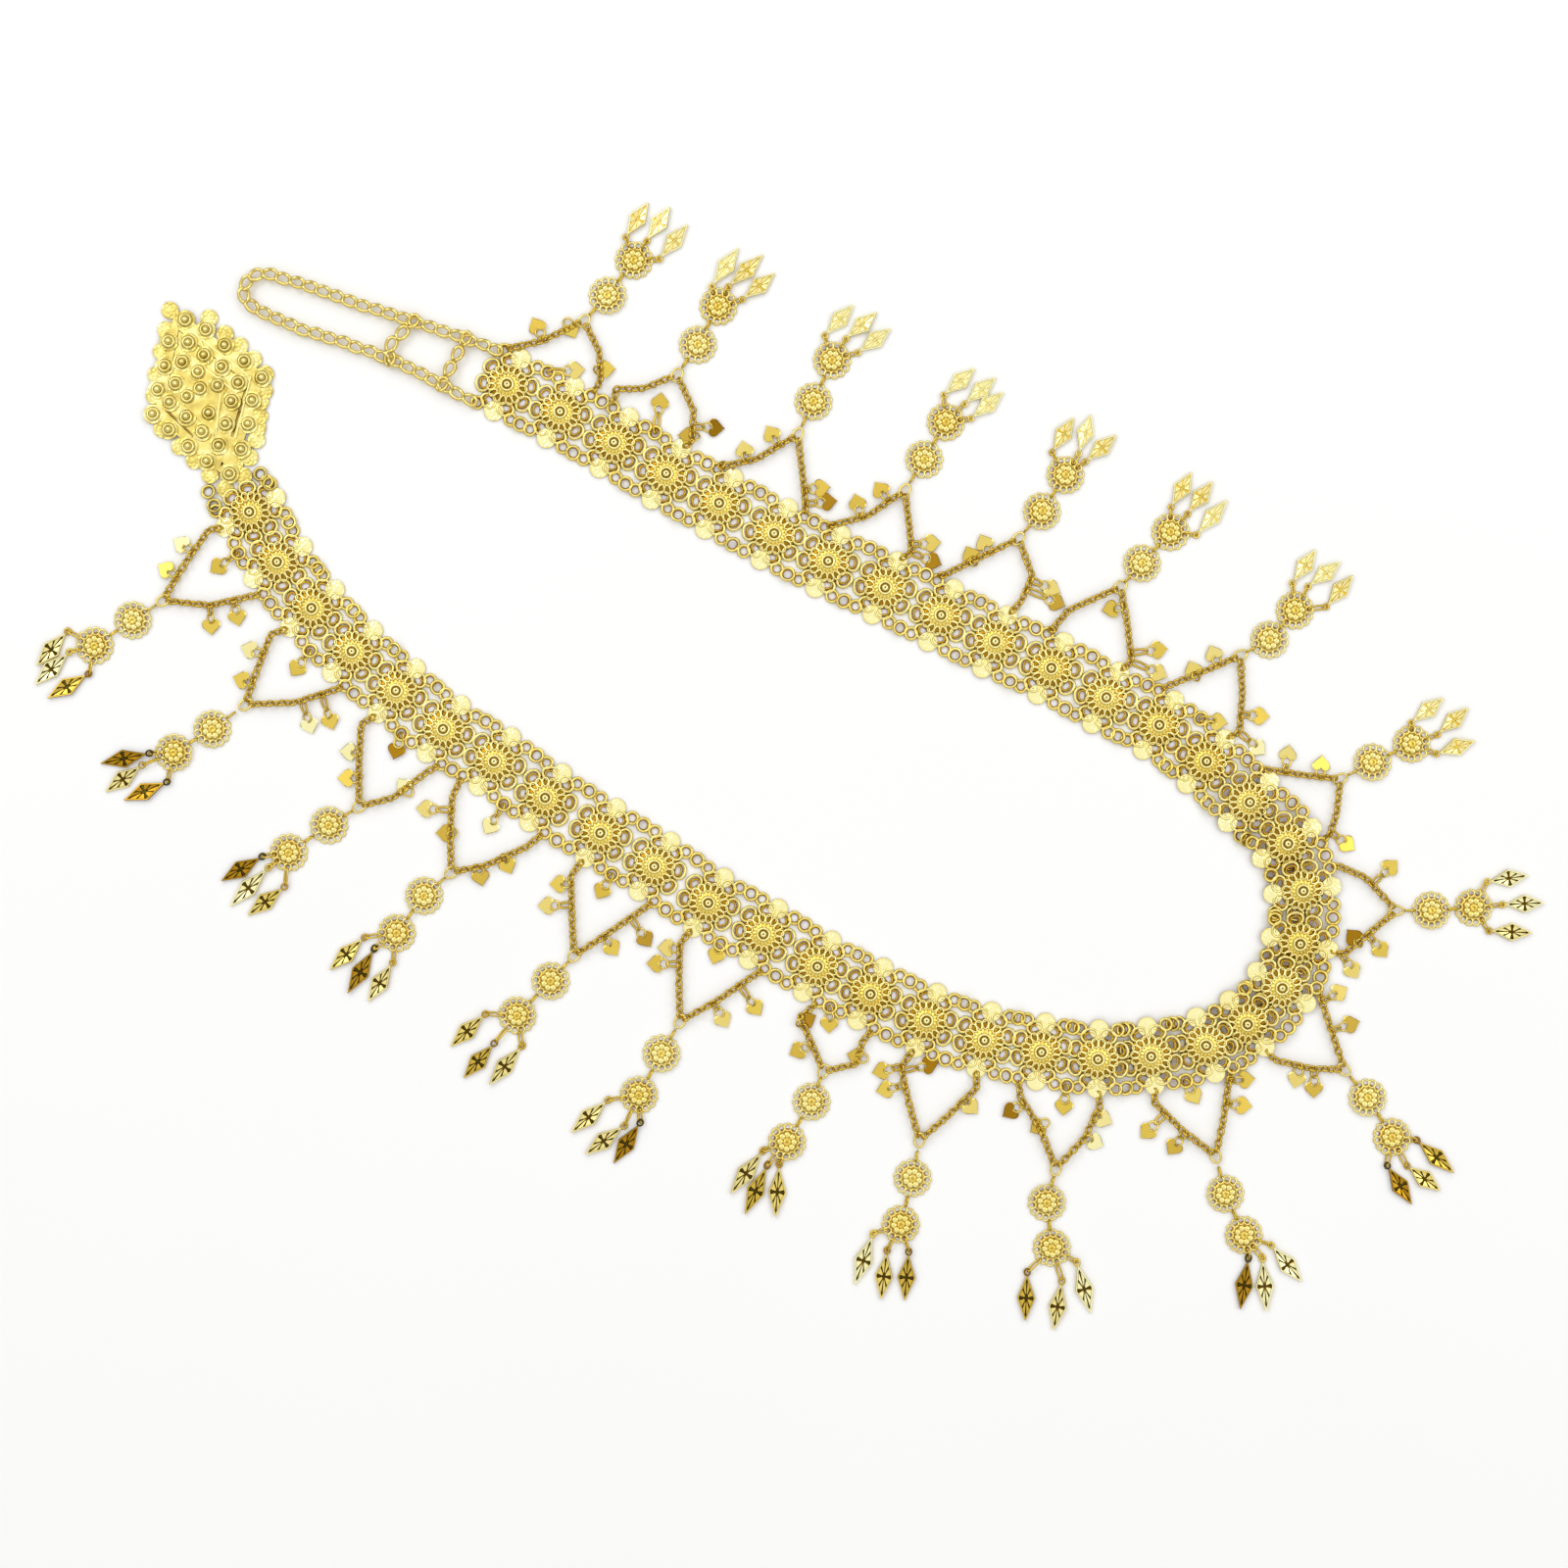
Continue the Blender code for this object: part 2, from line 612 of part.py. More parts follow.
def strand_lines(index):
    # From the nearest eyelet or disc on the band's outer edge, through the bend, to the apex
    swag = SWAGS[index]
    lines = []
    for steps, number in ((swag[:3], 2 * index + 1), (swag[:1:-1], 2 * index + 2)):
        start = place(steps[0])
        holds = [on_medallion(number, along_by, DISC_OFFSET)
                 for along_by in (-EYELET_ALONG, 0, EYELET_ALONG)]
        hold = min(holds, key=lambda spot: (spot - start).length)
        lines.append([hold] + [place(step) for step in steps])
    return lines


def tassel(index, finish):
    first = 2 * index + 1
    pendant = [place(step) for step in PENDANTS[index]]
    strands = strand_lines(index)
    apex = strands[0][-1]
    pads, raised = [], []
    for line in strands:
        pads.append((strip(line, STRAND_WIDTH), STRAND_HEIGHT))
    for step in STRAND_HEARTS[index]:
        centre = place(step)
        hook = min((nearest(centre, line[1:]) for line in strands), key=lambda spot: (spot - centre).length)
        if (centre - hook).length < HEART_SIZE / 2:
            hook = centre + (hook - centre).normalized() * HEART_SIZE / 2
        pads += charm(centre, hook, STRAND_HEIGHT, 0.0)
    upper, lower = pendant[0], pendant[1]
    pads.append((strip([apex, upper, lower], RING_WIDTH), STRAND_HEIGHT))
    for centre in (upper, lower):
        pads.append((circle(centre, ROSETTE_RADIUS, ROSETTE_SIDES), STRAND_HEIGHT))
        cap = circle(centre, ROSETTE_CAP_RADIUS, ROSETTE_CAP_SIDES)
        raised.append((((cap, STRAND_HEIGHT),), (centre, ROSETTE_HEIGHT)))
    for middle, tip in zip(pendant[2::2], pendant[3::2]):
        body = lozenge(middle, tip, DROP_LENGTH, DROP_WIDTH)
        pads.append((body, STRAND_HEIGHT))
        pads.append((strip([lower, body[0], middle], NECK_WIDTH), STRAND_HEIGHT))
    cuts = []
    for number in (first - 1, first, first + 1, first + 2):
        if 0 < number <= len(MEDALLIONS):
            cuts += band_clearance(number)
    for centre, hook in band_hooks(index + 1):
        cuts += [outline for outline, _ in charm(centre, hook, STRAND_HEIGHT, CLEAR)]
    for other in (index - 1, index + 1):
        if 0 <= other < len(SWAGS):
            cuts += [strip(line, STRAND_WIDTH + 2 * CLEAR) for line in strand_lines(other)]
    return solid("tassel_%02d" % (index + 1), pads, raised, cuts, apex, finish)


def buckle(finish):
    corners = [place(step) for step in BUCKLE_CORNERS]
    pads = [(corners, BUCKLE_HEIGHT)]
    for i, count in enumerate(BUCKLE_EDGE_COUNTS):
        start, end = corners[i], corners[(i + 1) % len(corners)]
        for k in range(count):
            pads.append((circle(start.lerp(end, k / count), SCALLOP_RADIUS, SCALLOP_SIDES), BUCKLE_HEIGHT))
    raised = []
    for row in BOSSES:
        for step in row:
            centre = place(step)
            pads.append((circle(centre, BOSS_RADIUS + 2 * SNAP, SCALLOP_SIDES), BUCKLE_HEIGHT))
            base = circle(centre, BOSS_RADIUS, BOSS_SIDES)
            raised.append((((base, BUCKLE_HEIGHT),), (centre, BOSS_HEIGHT)))
    last = len(MEDALLIONS)
    for step, out_by in zip(BUCKLE_TABS, (-DISC_OFFSET, DISC_OFFSET)):
        tab = place(step)
        pads.append((circle(tab, TAB_RADIUS, TAB_SIDES), BUCKLE_HEIGHT))
        link = [on_medallion(last, EYELET_ALONG, out_by), tab, tab.lerp(SITES[last + 1], TAB_REACH)]
        pads.append((strip(link, LINK_WIDTH), BUCKLE_HEIGHT))
    cuts = [beyond(SITES[last + 1], SITES[last], SEAM / 2)]
    return solid("buckle", pads, raised, cuts, corners[1], finish)


def curb_outline(line):
    # A chain of overlapping links seen from above: full width at each link and a waist between
    spans = [(end - start).length for start, end in zip(line, line[1:])]
    count = max(round(sum(spans) / CURB_PITCH), 2)
    rights, lefts = [], []
    for i in range(2 * count + 1):
        run = sum(spans) * i / (2 * count)
        k = 0
        while k < len(spans) - 1 and run > spans[k]:
            run -= spans[k]
            k += 1
        along = (line[k + 1] - line[k]).normalized()
        side = Vector((-along.y, along.x)) * (CURB_WIDTH if i % 2 else CURB_WAIST) / 2
        spot = line[k] + along * run
        rights.append(spot - side)
        lefts.append(spot + side)
    return rights + lefts[::-1]


def longer(line):
    # The same line with its first point moved back by one seam
    back = (line[0] - line[1]).normalized() * SEAM
    return [line[0] + back] + line[1:]


def extender(finish):
    parts = []
    lines = {name: [place(step) for step in steps] for name, steps in EXTENDER}
    rails = [lines[name] for name in RAILS]
    for name, line in lines.items():
        cuts = band_clearance(1)
        if name not in RAILS:
            cuts += [strip(longer(rail), CURB_WIDTH + 2 * SEAM) for rail in rails]
        pads = [(curb_outline(line), CURB_HEIGHT)]
        parts.append(solid(name, pads, [], cuts, line[0], finish))
    return parts


def main():
    for item in list(bpy.data.objects):
        bpy.data.objects.remove(item, do_unlink=True)
    finishes = {name: metal(name) for name in FINISHES}
    for pair in range(1, len(MEDALLIONS) // 2 + 1):
        band_pair(pair, finishes["band"])
    for index in range(len(SWAGS)):
        tassel(index, finishes["tassel"])
    buckle(finishes["buckle"])
    extender(finishes["extender"])


main()
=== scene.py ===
import json
import math
import random

import bmesh
import bpy
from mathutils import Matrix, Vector

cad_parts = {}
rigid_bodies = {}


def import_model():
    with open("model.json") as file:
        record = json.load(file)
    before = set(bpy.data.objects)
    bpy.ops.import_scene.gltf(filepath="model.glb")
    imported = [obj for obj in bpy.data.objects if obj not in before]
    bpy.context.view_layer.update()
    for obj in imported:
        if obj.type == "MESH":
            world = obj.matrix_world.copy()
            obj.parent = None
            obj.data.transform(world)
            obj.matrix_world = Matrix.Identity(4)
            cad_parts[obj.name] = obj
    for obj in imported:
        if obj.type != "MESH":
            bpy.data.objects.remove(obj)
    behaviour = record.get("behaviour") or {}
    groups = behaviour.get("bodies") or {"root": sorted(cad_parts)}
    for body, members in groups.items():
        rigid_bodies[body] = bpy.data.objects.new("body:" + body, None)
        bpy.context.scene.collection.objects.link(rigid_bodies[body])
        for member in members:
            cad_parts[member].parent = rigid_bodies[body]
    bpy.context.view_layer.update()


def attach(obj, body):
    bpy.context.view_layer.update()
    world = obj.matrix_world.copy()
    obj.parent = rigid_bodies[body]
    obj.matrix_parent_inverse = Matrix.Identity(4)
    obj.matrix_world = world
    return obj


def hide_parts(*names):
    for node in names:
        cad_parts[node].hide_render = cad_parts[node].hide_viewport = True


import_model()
dice = random.Random(11)
mm = 0.001
wireSides = 5

# The belt is laid out on a sheet of small steps, x to the right and y down
sheet = {"step": 0.36 * mm, "middleX": 806.59, "middleY": 779.91}


def at(spot):
    right, up = spot[0] - sheet["middleX"], sheet["middleY"] - spot[1]
    return Vector((right * sheet["step"], up * sheet["step"], 0))


# Node trees

def add(tree, kind, wires=None, **settings):
    # One node: settings are its properties, wires go to its inputs by name or number
    node = tree.nodes.new(kind)
    for key, value in settings.items():
        setattr(node, key, value)
    for key, value in (wires or {}).items():
        if isinstance(value, bpy.types.NodeSocket):
            tree.links.new(value, node.inputs[key])
        else:
            node.inputs[key].default_value = value
    return node.outputs


def calc(tree, operation, *values):
    return add(tree, "ShaderNodeMath", dict(enumerate(values)), operation=operation)[0]


def newTree(name, kind, inputs, outputs):
    tree = bpy.data.node_groups.new(name, kind)
    for label, form, value in inputs:
        socket = tree.interface.new_socket(label, in_out="INPUT", socket_type="NodeSocket" + form)
        if value is not None:
            socket.default_value = value
    for label, form in outputs:
        tree.interface.new_socket(label, in_out="OUTPUT", socket_type="NodeSocket" + form)
    return tree, tree.nodes.new("NodeGroupInput").outputs


def close(tree, wires):
    add(tree, "NodeGroupOutput", wires)
    return tree


def plated(tree, geometry, metal):
    # Ends a tree with its geometry in one metal
    return close(tree, {0: add(tree, "GeometryNodeSetMaterial", {
        "Geometry": geometry, "Material": metal})[0]})


def named(tree, name, form):
    return add(tree, "GeometryNodeInputNamedAttribute", {"Name": name}, data_type=form)[0]


def grown(name, tree, source=None, **values):
    # Runs a tree on a mesh and gives back the plain mesh
    holder = bpy.data.objects.new(name, source or bpy.data.meshes.new(name))
    bpy.context.scene.collection.objects.link(holder)
    modifier = holder.modifiers.new("form", "NODES")
    modifier.node_group = tree
    for item in tree.interface.items_tree:
        if item.in_out == "INPUT" and item.name in values:
            modifier[item.identifier] = values[item.name]
    view = bpy.context.evaluated_depsgraph_get()
    mesh = bpy.data.meshes.new_from_object(holder.evaluated_get(view), preserve_all_data_layers=True,
                                           depsgraph=view)
    mesh.name = name
    holder.modifiers.remove(modifier)
    bpy.data.objects.remove(holder)
    return mesh


def wheelTree():
    # Open wire loops set round a centre
    tree, given = newTree("wireWheel", "GeometryNodeTree", (
        ("Geometry", "Geometry", None), ("Loops", "Int", 8), ("Turn", "Float", 0.0),
        ("Middle", "Float", 0.009), ("Length", "Float", 0.005), ("Width", "Float", 0.005),
        ("Taper", "Float", 0.0), ("Wire", "Float", 0.0004), ("Height", "Float", 0.001),
        ("Rise", "Float", 0.0), ("Steps", "Int", 14), ("Recess", "Float", 0.0),
        ("Metal", "Material", None)), (("Geometry", "Geometry"),))
    circle = add(tree, "GeometryNodeCurvePrimitiveCircle", {
        "Resolution": given["Steps"], "Radius": 1.0})["Curve"]
    spot = add(tree, "ShaderNodeSeparateXYZ", {0: add(tree, "GeometryNodeInputPosition")[0]})
    reach = calc(tree, "MULTIPLY", given["Length"], 0.5)
    along = calc(tree, "MULTIPLY_ADD", spot["X"], reach, given["Middle"])
    narrow = calc(tree, "MULTIPLY_ADD", spot["X"], given["Taper"], 1.0)
    across = calc(tree, "MULTIPLY", spot["Y"], calc(tree, "MULTIPLY", narrow, given["Width"]))
    inward = calc(tree, "MULTIPLY_ADD", spot["X"], -0.5, 0.5)
    up = calc(tree, "MULTIPLY_ADD", inward, given["Rise"], given["Height"])
    place = add(tree, "ShaderNodeCombineXYZ", {
        "X": along, "Y": calc(tree, "MULTIPLY", across, 0.5), "Z": up})[0]
    loop = add(tree, "GeometryNodeSetPosition", {"Geometry": circle, "Position": place})[0]
    section = add(tree, "GeometryNodeCurvePrimitiveCircle", {
        "Resolution": wireSides, "Radius": given["Wire"]})["Curve"]
    wire = add(tree, "GeometryNodeCurveToMesh", {"Curve": loop, "Profile Curve": section})[0]
    spots = add(tree, "GeometryNodeMeshLine", {"Count": given["Loops"], "Offset": (0, 0, 0)})[0]
    share = calc(tree, "DIVIDE", add(tree, "GeometryNodeInputIndex")[0], given["Loops"])
    angle = calc(tree, "MULTIPLY_ADD", share, math.tau, given["Turn"])
    spin = add(tree, "ShaderNodeCombineXYZ", {"Z": angle})[0]
    turn = add(tree, "FunctionNodeEulerToRotation", {0: spin})[0]
    wheel = add(tree, "GeometryNodeInstanceOnPoints", {
        "Points": spots, "Instance": wire, "Rotation": turn})[0]
    # Each loop carries its painted shade and highlight level for the gold's colour
    marked = add(tree, "GeometryNodeStoreNamedAttribute", {
        "Geometry": add(tree, "GeometryNodeRealizeInstances", {0: wheel})[0],
        "Name": "recess", "Value": given["Recess"]}, data_type="FLOAT", domain="POINT")[0]
    return plated(tree, marked, given["Metal"])


# Random sway of all links in radians, and the swags' pitch in mm, roll and lean in degrees
chain = {"wobble": 0.22, "seed": 5, "pitch": 2.15, "roll": 90.0, "lean": 42.0}


def layTree():
    # Findings set on loose points, and chain links run along the edges
    tree, given = newTree("layOut", "GeometryNodeTree", (
        ("Geometry", "Geometry", None), ("Findings", "Collection", None), ("Link", "Int", 0),
        ("Pitch", "Float", 0.003), ("Roll", "Float", 1.5), ("Lean", "Float", 0.0),
        ("Metal", "Material", None)), (("Geometry", "Geometry"),))
    kinds = add(tree, "GeometryNodeCollectionInfo", {
        "Collection": given["Findings"], "Separate Children": True, "Reset Children": True})[0]
    kind = named(tree, "kind", "INT")
    turn = add(tree, "FunctionNodeEulerToRotation", {0: named(tree, "turn", "FLOAT_VECTOR")})[0]
    loose = add(tree, "GeometryNodeInstanceOnPoints", {
        "Points": given["Geometry"], "Selection": calc(tree, "GREATER_THAN", kind, -0.5), "Instance": kinds,
        "Pick Instance": True, "Instance Index": kind, "Rotation": turn,
        "Scale": named(tree, "size", "FLOAT_VECTOR")})[0]
    line = add(tree, "GeometryNodeMeshToCurve", {"Mesh": given["Geometry"]})[0]
    spots = add(tree, "GeometryNodeResampleCurve", {
        "Curve": line, "Length": given["Pitch"]}, mode="LENGTH")[0]
    along = add(tree, "FunctionNodeAlignRotationToVector", {
        "Vector": add(tree, "GeometryNodeInputTangent")[0]}, axis="X")[0]
    odd = calc(tree, "MODULO", add(tree, "GeometryNodeInputIndex")[0], 2.0)
    wobble = add(tree, "FunctionNodeRandomValue", {
        "Min": -chain["wobble"], "Max": chain["wobble"], "Seed": chain["seed"]}, data_type="FLOAT")[1]
    roll = calc(tree, "MULTIPLY_ADD", odd, given["Roll"], calc(tree, "ADD", wobble, given["Lean"]))
    rolled = add(tree, "FunctionNodeRotateRotation", {
        "Rotation": along,
        "Rotate By": add(tree, "FunctionNodeEulerToRotation", {
            0: add(tree, "ShaderNodeCombineXYZ", {"X": roll})[0]})[0]}, rotation_space="LOCAL")[0]
    chained = add(tree, "GeometryNodeInstanceOnPoints", {
        "Points": spots, "Instance": kinds, "Pick Instance": True, "Instance Index": given["Link"],
        "Rotation": rolled})[0]
    both = tree.nodes.new("GeometryNodeJoinGeometry")
    tree.links.new(loose, both.inputs[0])
    tree.links.new(chained, both.inputs[0])
    real = add(tree, "GeometryNodeRealizeInstances", {0: both.outputs[0]})[0]
    return plated(tree, real, given["Metal"])


# Gold

# Where the painted shading mask turns from one tone to the next
toneSteps = ((-0.35, 0.25, "Mid"), (0.25, 1.0, "Deep"), (1.0, 1.6, "Dark"))


def toneGroup():
    # Painted light and shade: pale gold for painted highlights to dark gold for painted shade, from a mask,
    # with soft patches
    group, given = newTree("goldTone", "ShaderNodeTree", (
        ("Depth", "Float", 0.0), ("Patches", "Float", 60.0), ("Blotch", "Float", 0.34),
        ("Pale", "Color", None), ("Mid", "Color", None), ("Deep", "Color", None), ("Dark", "Color", None)),
        (("Color", "Color"),))
    where = add(group, "ShaderNodeTexCoord")["Object"]
    noise = add(group, "ShaderNodeTexNoise", {
        "Vector": where, "Scale": given["Patches"], "Detail": 3.0})["Fac"]
    shadeLevel = calc(group, "MULTIPLY_ADD", calc(group, "SUBTRACT", noise, 0.5), given["Blotch"], given["Depth"])
    colour = given["Pale"]
    for start, end, label in toneSteps:
        share = add(group, "ShaderNodeMapRange", {"Value": shadeLevel, "From Min": start, "From Max": end})[0]
        colour = add(group, "ShaderNodeMix", {
            "Factor": share, 6: colour, 7: given[label]}, data_type="RGBA")[2]
    return close(group, {0: colour})


def surfaceGroup():
    # Fine casting grain and polish marks
    group, given = newTree("castGrain", "ShaderNodeTree", (
        ("Grain", "Float", 2600.0), ("Rough", "Float", 0.2), ("Spread", "Float", 0.1)),
        (("Height", "Float"), ("Roughness", "Float")))
    where = add(group, "ShaderNodeTexCoord")["Object"]
    fine = add(group, "ShaderNodeTexNoise", {"Vector": where, "Scale": given["Grain"], "Detail": 2.0})["Fac"]
    broad = add(group, "ShaderNodeTexNoise", {"Vector": where, "Scale": 240.0, "Detail": 3.0})["Fac"]
    rough = calc(group, "MULTIPLY_ADD", broad, given["Spread"], given["Rough"])
    return close(group, {0: fine, 1: rough})


# Colours of each gold from pale, used for painted highlights, through mid and deep to dark, used for painted
# shade in hollows and under parts
golds = {
    "bandGold": {"pale": (0.96, 0.89, 0.44), "mid": (0.80, 0.60, 0.10), "deep": (0.44, 0.23, 0.010),
                 "dark": (0.13, 0.07, 0.006), "patches": 60.0, "blotch": 0.3, "rough": 0.16, "spread": 0.12,
                 "bump": 0.25},
    "tasselGold": {"pale": (0.95, 0.89, 0.46), "mid": (0.78, 0.58, 0.10), "deep": (0.40, 0.20, 0.008),
                   "dark": (0.07, 0.05, 0.008), "patches": 60.0, "blotch": 0.3, "rough": 0.14, "spread": 0.12,
                   "bump": 0.18},
    "buckleGold": {"pale": (0.87, 0.78, 0.33), "mid": (0.72, 0.58, 0.15), "deep": (0.46, 0.34, 0.09),
                   "dark": (0.16, 0.09, 0.010), "patches": 230.0, "blotch": 2.6, "rough": 0.26,
                   "spread": 0.14, "bump": 0.5},
    "extenderGold": {"pale": (0.93, 0.82, 0.36), "mid": (0.76, 0.53, 0.085), "deep": (0.38, 0.18, 0.006),
                     "dark": (0.12, 0.06, 0.005), "patches": 60.0, "blotch": 0.3, "rough": 0.14,
                     "spread": 0.08, "bump": 0.12},
}
goldTone = toneGroup()
castGrain = surfaceGroup()


def goldMaterial(name):
    look = golds[name]
    material = bpy.data.materials.new(name)
    material.use_nodes = True
    tree = material.node_tree
    shader = tree.nodes["Principled BSDF"]
    shader.inputs["Metallic"].default_value = 1.0
    # The finding's painted shade and highlight level and its piece's tone together pick the colour between
    # pale and dark gold
    recess = add(tree, "ShaderNodeAttribute", attribute_name="recess")["Fac"]
    tone = add(tree, "ShaderNodeAttribute", attribute_name="tone")["Fac"]
    colour = add(tree, "ShaderNodeGroup", {}, node_tree=goldTone)
    group = colour[0].node
    tree.links.new(calc(tree, "ADD", recess, tone), group.inputs["Depth"])
    for label in ("Pale", "Mid", "Deep", "Dark"):
        group.inputs[label].default_value = look[label.lower()] + (1.0,)
    for label in ("Patches", "Blotch"):
        group.inputs[label].default_value = look[label.lower()]
    tree.links.new(colour[0], shader.inputs["Base Color"])
    grain = add(tree, "ShaderNodeGroup", {}, node_tree=castGrain)
    grain[0].node.inputs["Rough"].default_value = look["rough"]
    grain[0].node.inputs["Spread"].default_value = look["spread"]
    tree.links.new(grain["Roughness"], shader.inputs["Roughness"])
    bump = add(tree, "ShaderNodeBump", {"Height": grain["Height"], "Strength": look["bump"],
                                        "Distance": 0.02 * mm})[0]
    tree.links.new(bump, shader.inputs["Normal"])
    return material


metals = {name: goldMaterial(name) for name in golds}
print("gold materials ready")


# Findings: each is made once about its own middle and set many times

findings = bpy.data.collections.new("findings")
wheel = wheelTree()
layOut = layTree()


def walls(rows, count):
    # Faces between rows of points, closed at both ends
    faces = [(row * count + i, row * count + (i + 1) % count, (row + 1) * count + (i + 1) % count,
              (row + 1) * count + i) for row in range(rows - 1) for i in range(count)]
    return faces + [tuple(range(count))[::-1], tuple(range((rows - 1) * count, rows * count))]


def meshOf(name, verts, faces, recess=0.0, smooth=True):
    mesh = bpy.data.meshes.new(name)
    mesh.from_pydata(verts, [], faces)
    mesh.polygons.foreach_set("use_smooth", [smooth] * len(faces))
    # A painted shade and highlight level per point, for the gold's colour
    layer = mesh.attributes.new("recess", "FLOAT", "POINT")
    layer.data.foreach_set("value", recess if isinstance(recess, list) else [recess] * len(verts))
    return mesh


def turned(name, profile, segments, recess=0.0, ribs=0, ribLift=0.0, ribShading=0.0, place=(0, 0), smooth=True,
           dashes=0.0):
    # Turns rows of (radius, height) in mm round the z axis, with ribs that fade inwards or struck dashes;
    # each row has a painted shading level, with painted highlight on the rib crests and painted shade in the
    # furrows
    verts, masks = [], []
    for row, (radius, height) in enumerate(profile):
        fade = 1 - row / (len(profile) - 1)
        mask = recess[row] if isinstance(recess, tuple) else recess
        for i in range(segments):
            angle = math.tau * i / segments
            wave = math.cos(ribs * angle) * fade if ribs else 0.0
            struck = dashes * (1 if (i // 2 + row) % 2 else -1) if 0 < row < len(profile) - 2 else 0.0
            x, y = place[0] + radius * math.cos(angle), place[1] + radius * math.sin(angle)
            verts.append((x * mm, y * mm, (height + struck + ribLift * wave) * mm))
            masks.append(mask - ribShading * wave)
    return meshOf(name, verts, walls(len(profile), segments), masks, smooth)


def looped(name, **sizes):
    # A wheel of wire loops, sizes in mm
    plain = ("Loops", "Steps", "Turn", "Taper", "Recess")
    given = {key: value if key in plain else value * mm for key, value in sizes.items()}
    return grown(name, wheel, None, **given)


def finding(name, meshes):
    # Joins the meshes of one finding and keeps it in the collection
    whole = bmesh.new()
    layer = whole.verts.layers.float.new("recess")
    for mesh in meshes:
        values = [item.value for item in mesh.attributes["recess"].data]
        part = bmesh.new()
        part.from_mesh(mesh)
        bmesh.ops.recalc_face_normals(part, faces=part.faces)
        made = [whole.verts.new(vert.co) for vert in part.verts]
        for vert, value in zip(made, values):
            vert[layer] = value
        for face in part.faces:
            whole.faces.new([made[vert.index] for vert in face.verts]).smooth = face.smooth
        part.free()
        bpy.data.meshes.remove(mesh)
    mesh = bpy.data.meshes.new(name)
    whole.to_mesh(mesh)
    whole.free()
    findings.objects.link(bpy.data.objects.new(name, mesh))


def ring(name, radius, wire, height=0.0, place=(0, 0), recess=0.0, steps=18, length=None):
    mesh = looped(name, Loops=1, Middle=0.0, Length=(length or 2 * radius), Width=2 * radius, Wire=wire,
                  Height=height, Steps=steps, Recess=recess)
    for vert in mesh.vertices:
        vert.co.x += place[0] * mm
        vert.co.y += place[1] * mm
    return mesh


# Painted shading levels: high values paint shade on the back plate, the inner lobes, the eyelet walls, the
# feet of the cone and discs, under the bead and in the bead's dent; low and negative values paint highlights
# on the collar, petals, bead and disc tops
medallion = {
    "eyeletAlong": 6.84, "discOffset": 10.8,
    "lobe": {"Loops": 8, "Turn": math.pi / 8, "Middle": 8.95, "Length": 5.0, "Width": 5.9, "Taper": 0.1,
             "Wire": 0.62, "Height": 0.7, "Steps": 16, "Recess": -0.05},
    "innerLobe": {"Loops": 8, "Turn": math.pi / 8, "Middle": 8.5, "Length": 3.1, "Width": 3.8, "Taper": 0.15,
                  "Wire": 0.48, "Height": 0.5, "Steps": 12, "Recess": 0.85},
    "petal": {"Loops": 16, "Turn": math.pi / 16, "Middle": 5.85, "Length": 3.3, "Width": 2.15, "Taper": 0.3,
              "Wire": 0.4, "Height": 1.3, "Rise": 0.9, "Steps": 12, "Recess": -0.15},
    "back": ((7.6, 0.15), (7.9, 0.4), (7.6, 0.65), (3.0, 1.1)),
    "cone": ((4.8, 1.3), (4.5, 1.8), (3.9, 2.2), (3.2, 2.5), (2.7, 2.7), (1.4, 2.65)),
    "coneShading": (1.0, 0.5, 0.25, 0.1, 0.5, 1.5),
    "ribs": {"ribs": 16, "ribLift": 0.3, "ribShading": 0.5},
    "bead": ((1.35, 2.5), (1.3, 3.2), (1.1, 3.55), (0.8, 3.75), (0.42, 3.8), (0.3, 3.55)),
    "beadShading": (1.0, -0.2, -0.35, -0.4, -0.3, 1.7),
    "collar": {"radius": 2.25, "wire": 0.46, "height": 2.95, "recess": -0.35},
    "eyelet": {"radius": 2.15, "wire": 0.6, "height": 0.75, "steps": 16, "recess": 0.1},
    "eyeletWall": {"radius": 1.75, "wire": 0.46, "height": 0.48, "steps": 12, "recess": 1.1},
    "disc": ((3.35, 0.2), (3.65, 0.45), (3.55, 0.9), (2.7, 0.92), (1.8, 0.95), (0.9, 0.98), (0.3, 1.05)),
    "discShading": (1.2, 0.9, -0.1, -0.4, -0.35, -0.4, -0.4), "discDashes": 0.05,
}


def makeMedallion():
    look = medallion
    meshes = [looped("lobes", **look["lobe"]), looped("innerLobes", **look["innerLobe"]),
              looped("petals", **look["petal"])]
    meshes.append(turned("back", look["back"], 24, recess=1.2))
    meshes.append(turned("cone", look["cone"], 64, recess=look["coneShading"], **look["ribs"]))
    meshes.append(turned("bead", look["bead"], 14, recess=look["beadShading"]))
    meshes.append(ring("collar", **look["collar"]))
    for side in (-1, 1):
        for end in (-1, 1):
            spot = (end * look["eyeletAlong"], side * look["discOffset"])
            meshes.append(ring("eyelet", place=spot, **look["eyelet"]))
            meshes.append(ring("eyeletWall", place=spot, **look["eyeletWall"]))
        meshes.append(turned("disc", look["disc"], 24, recess=look["discShading"],
                             place=(0, side * look["discOffset"]), smooth=False, dashes=look["discDashes"]))
    finding("medallion", meshes)


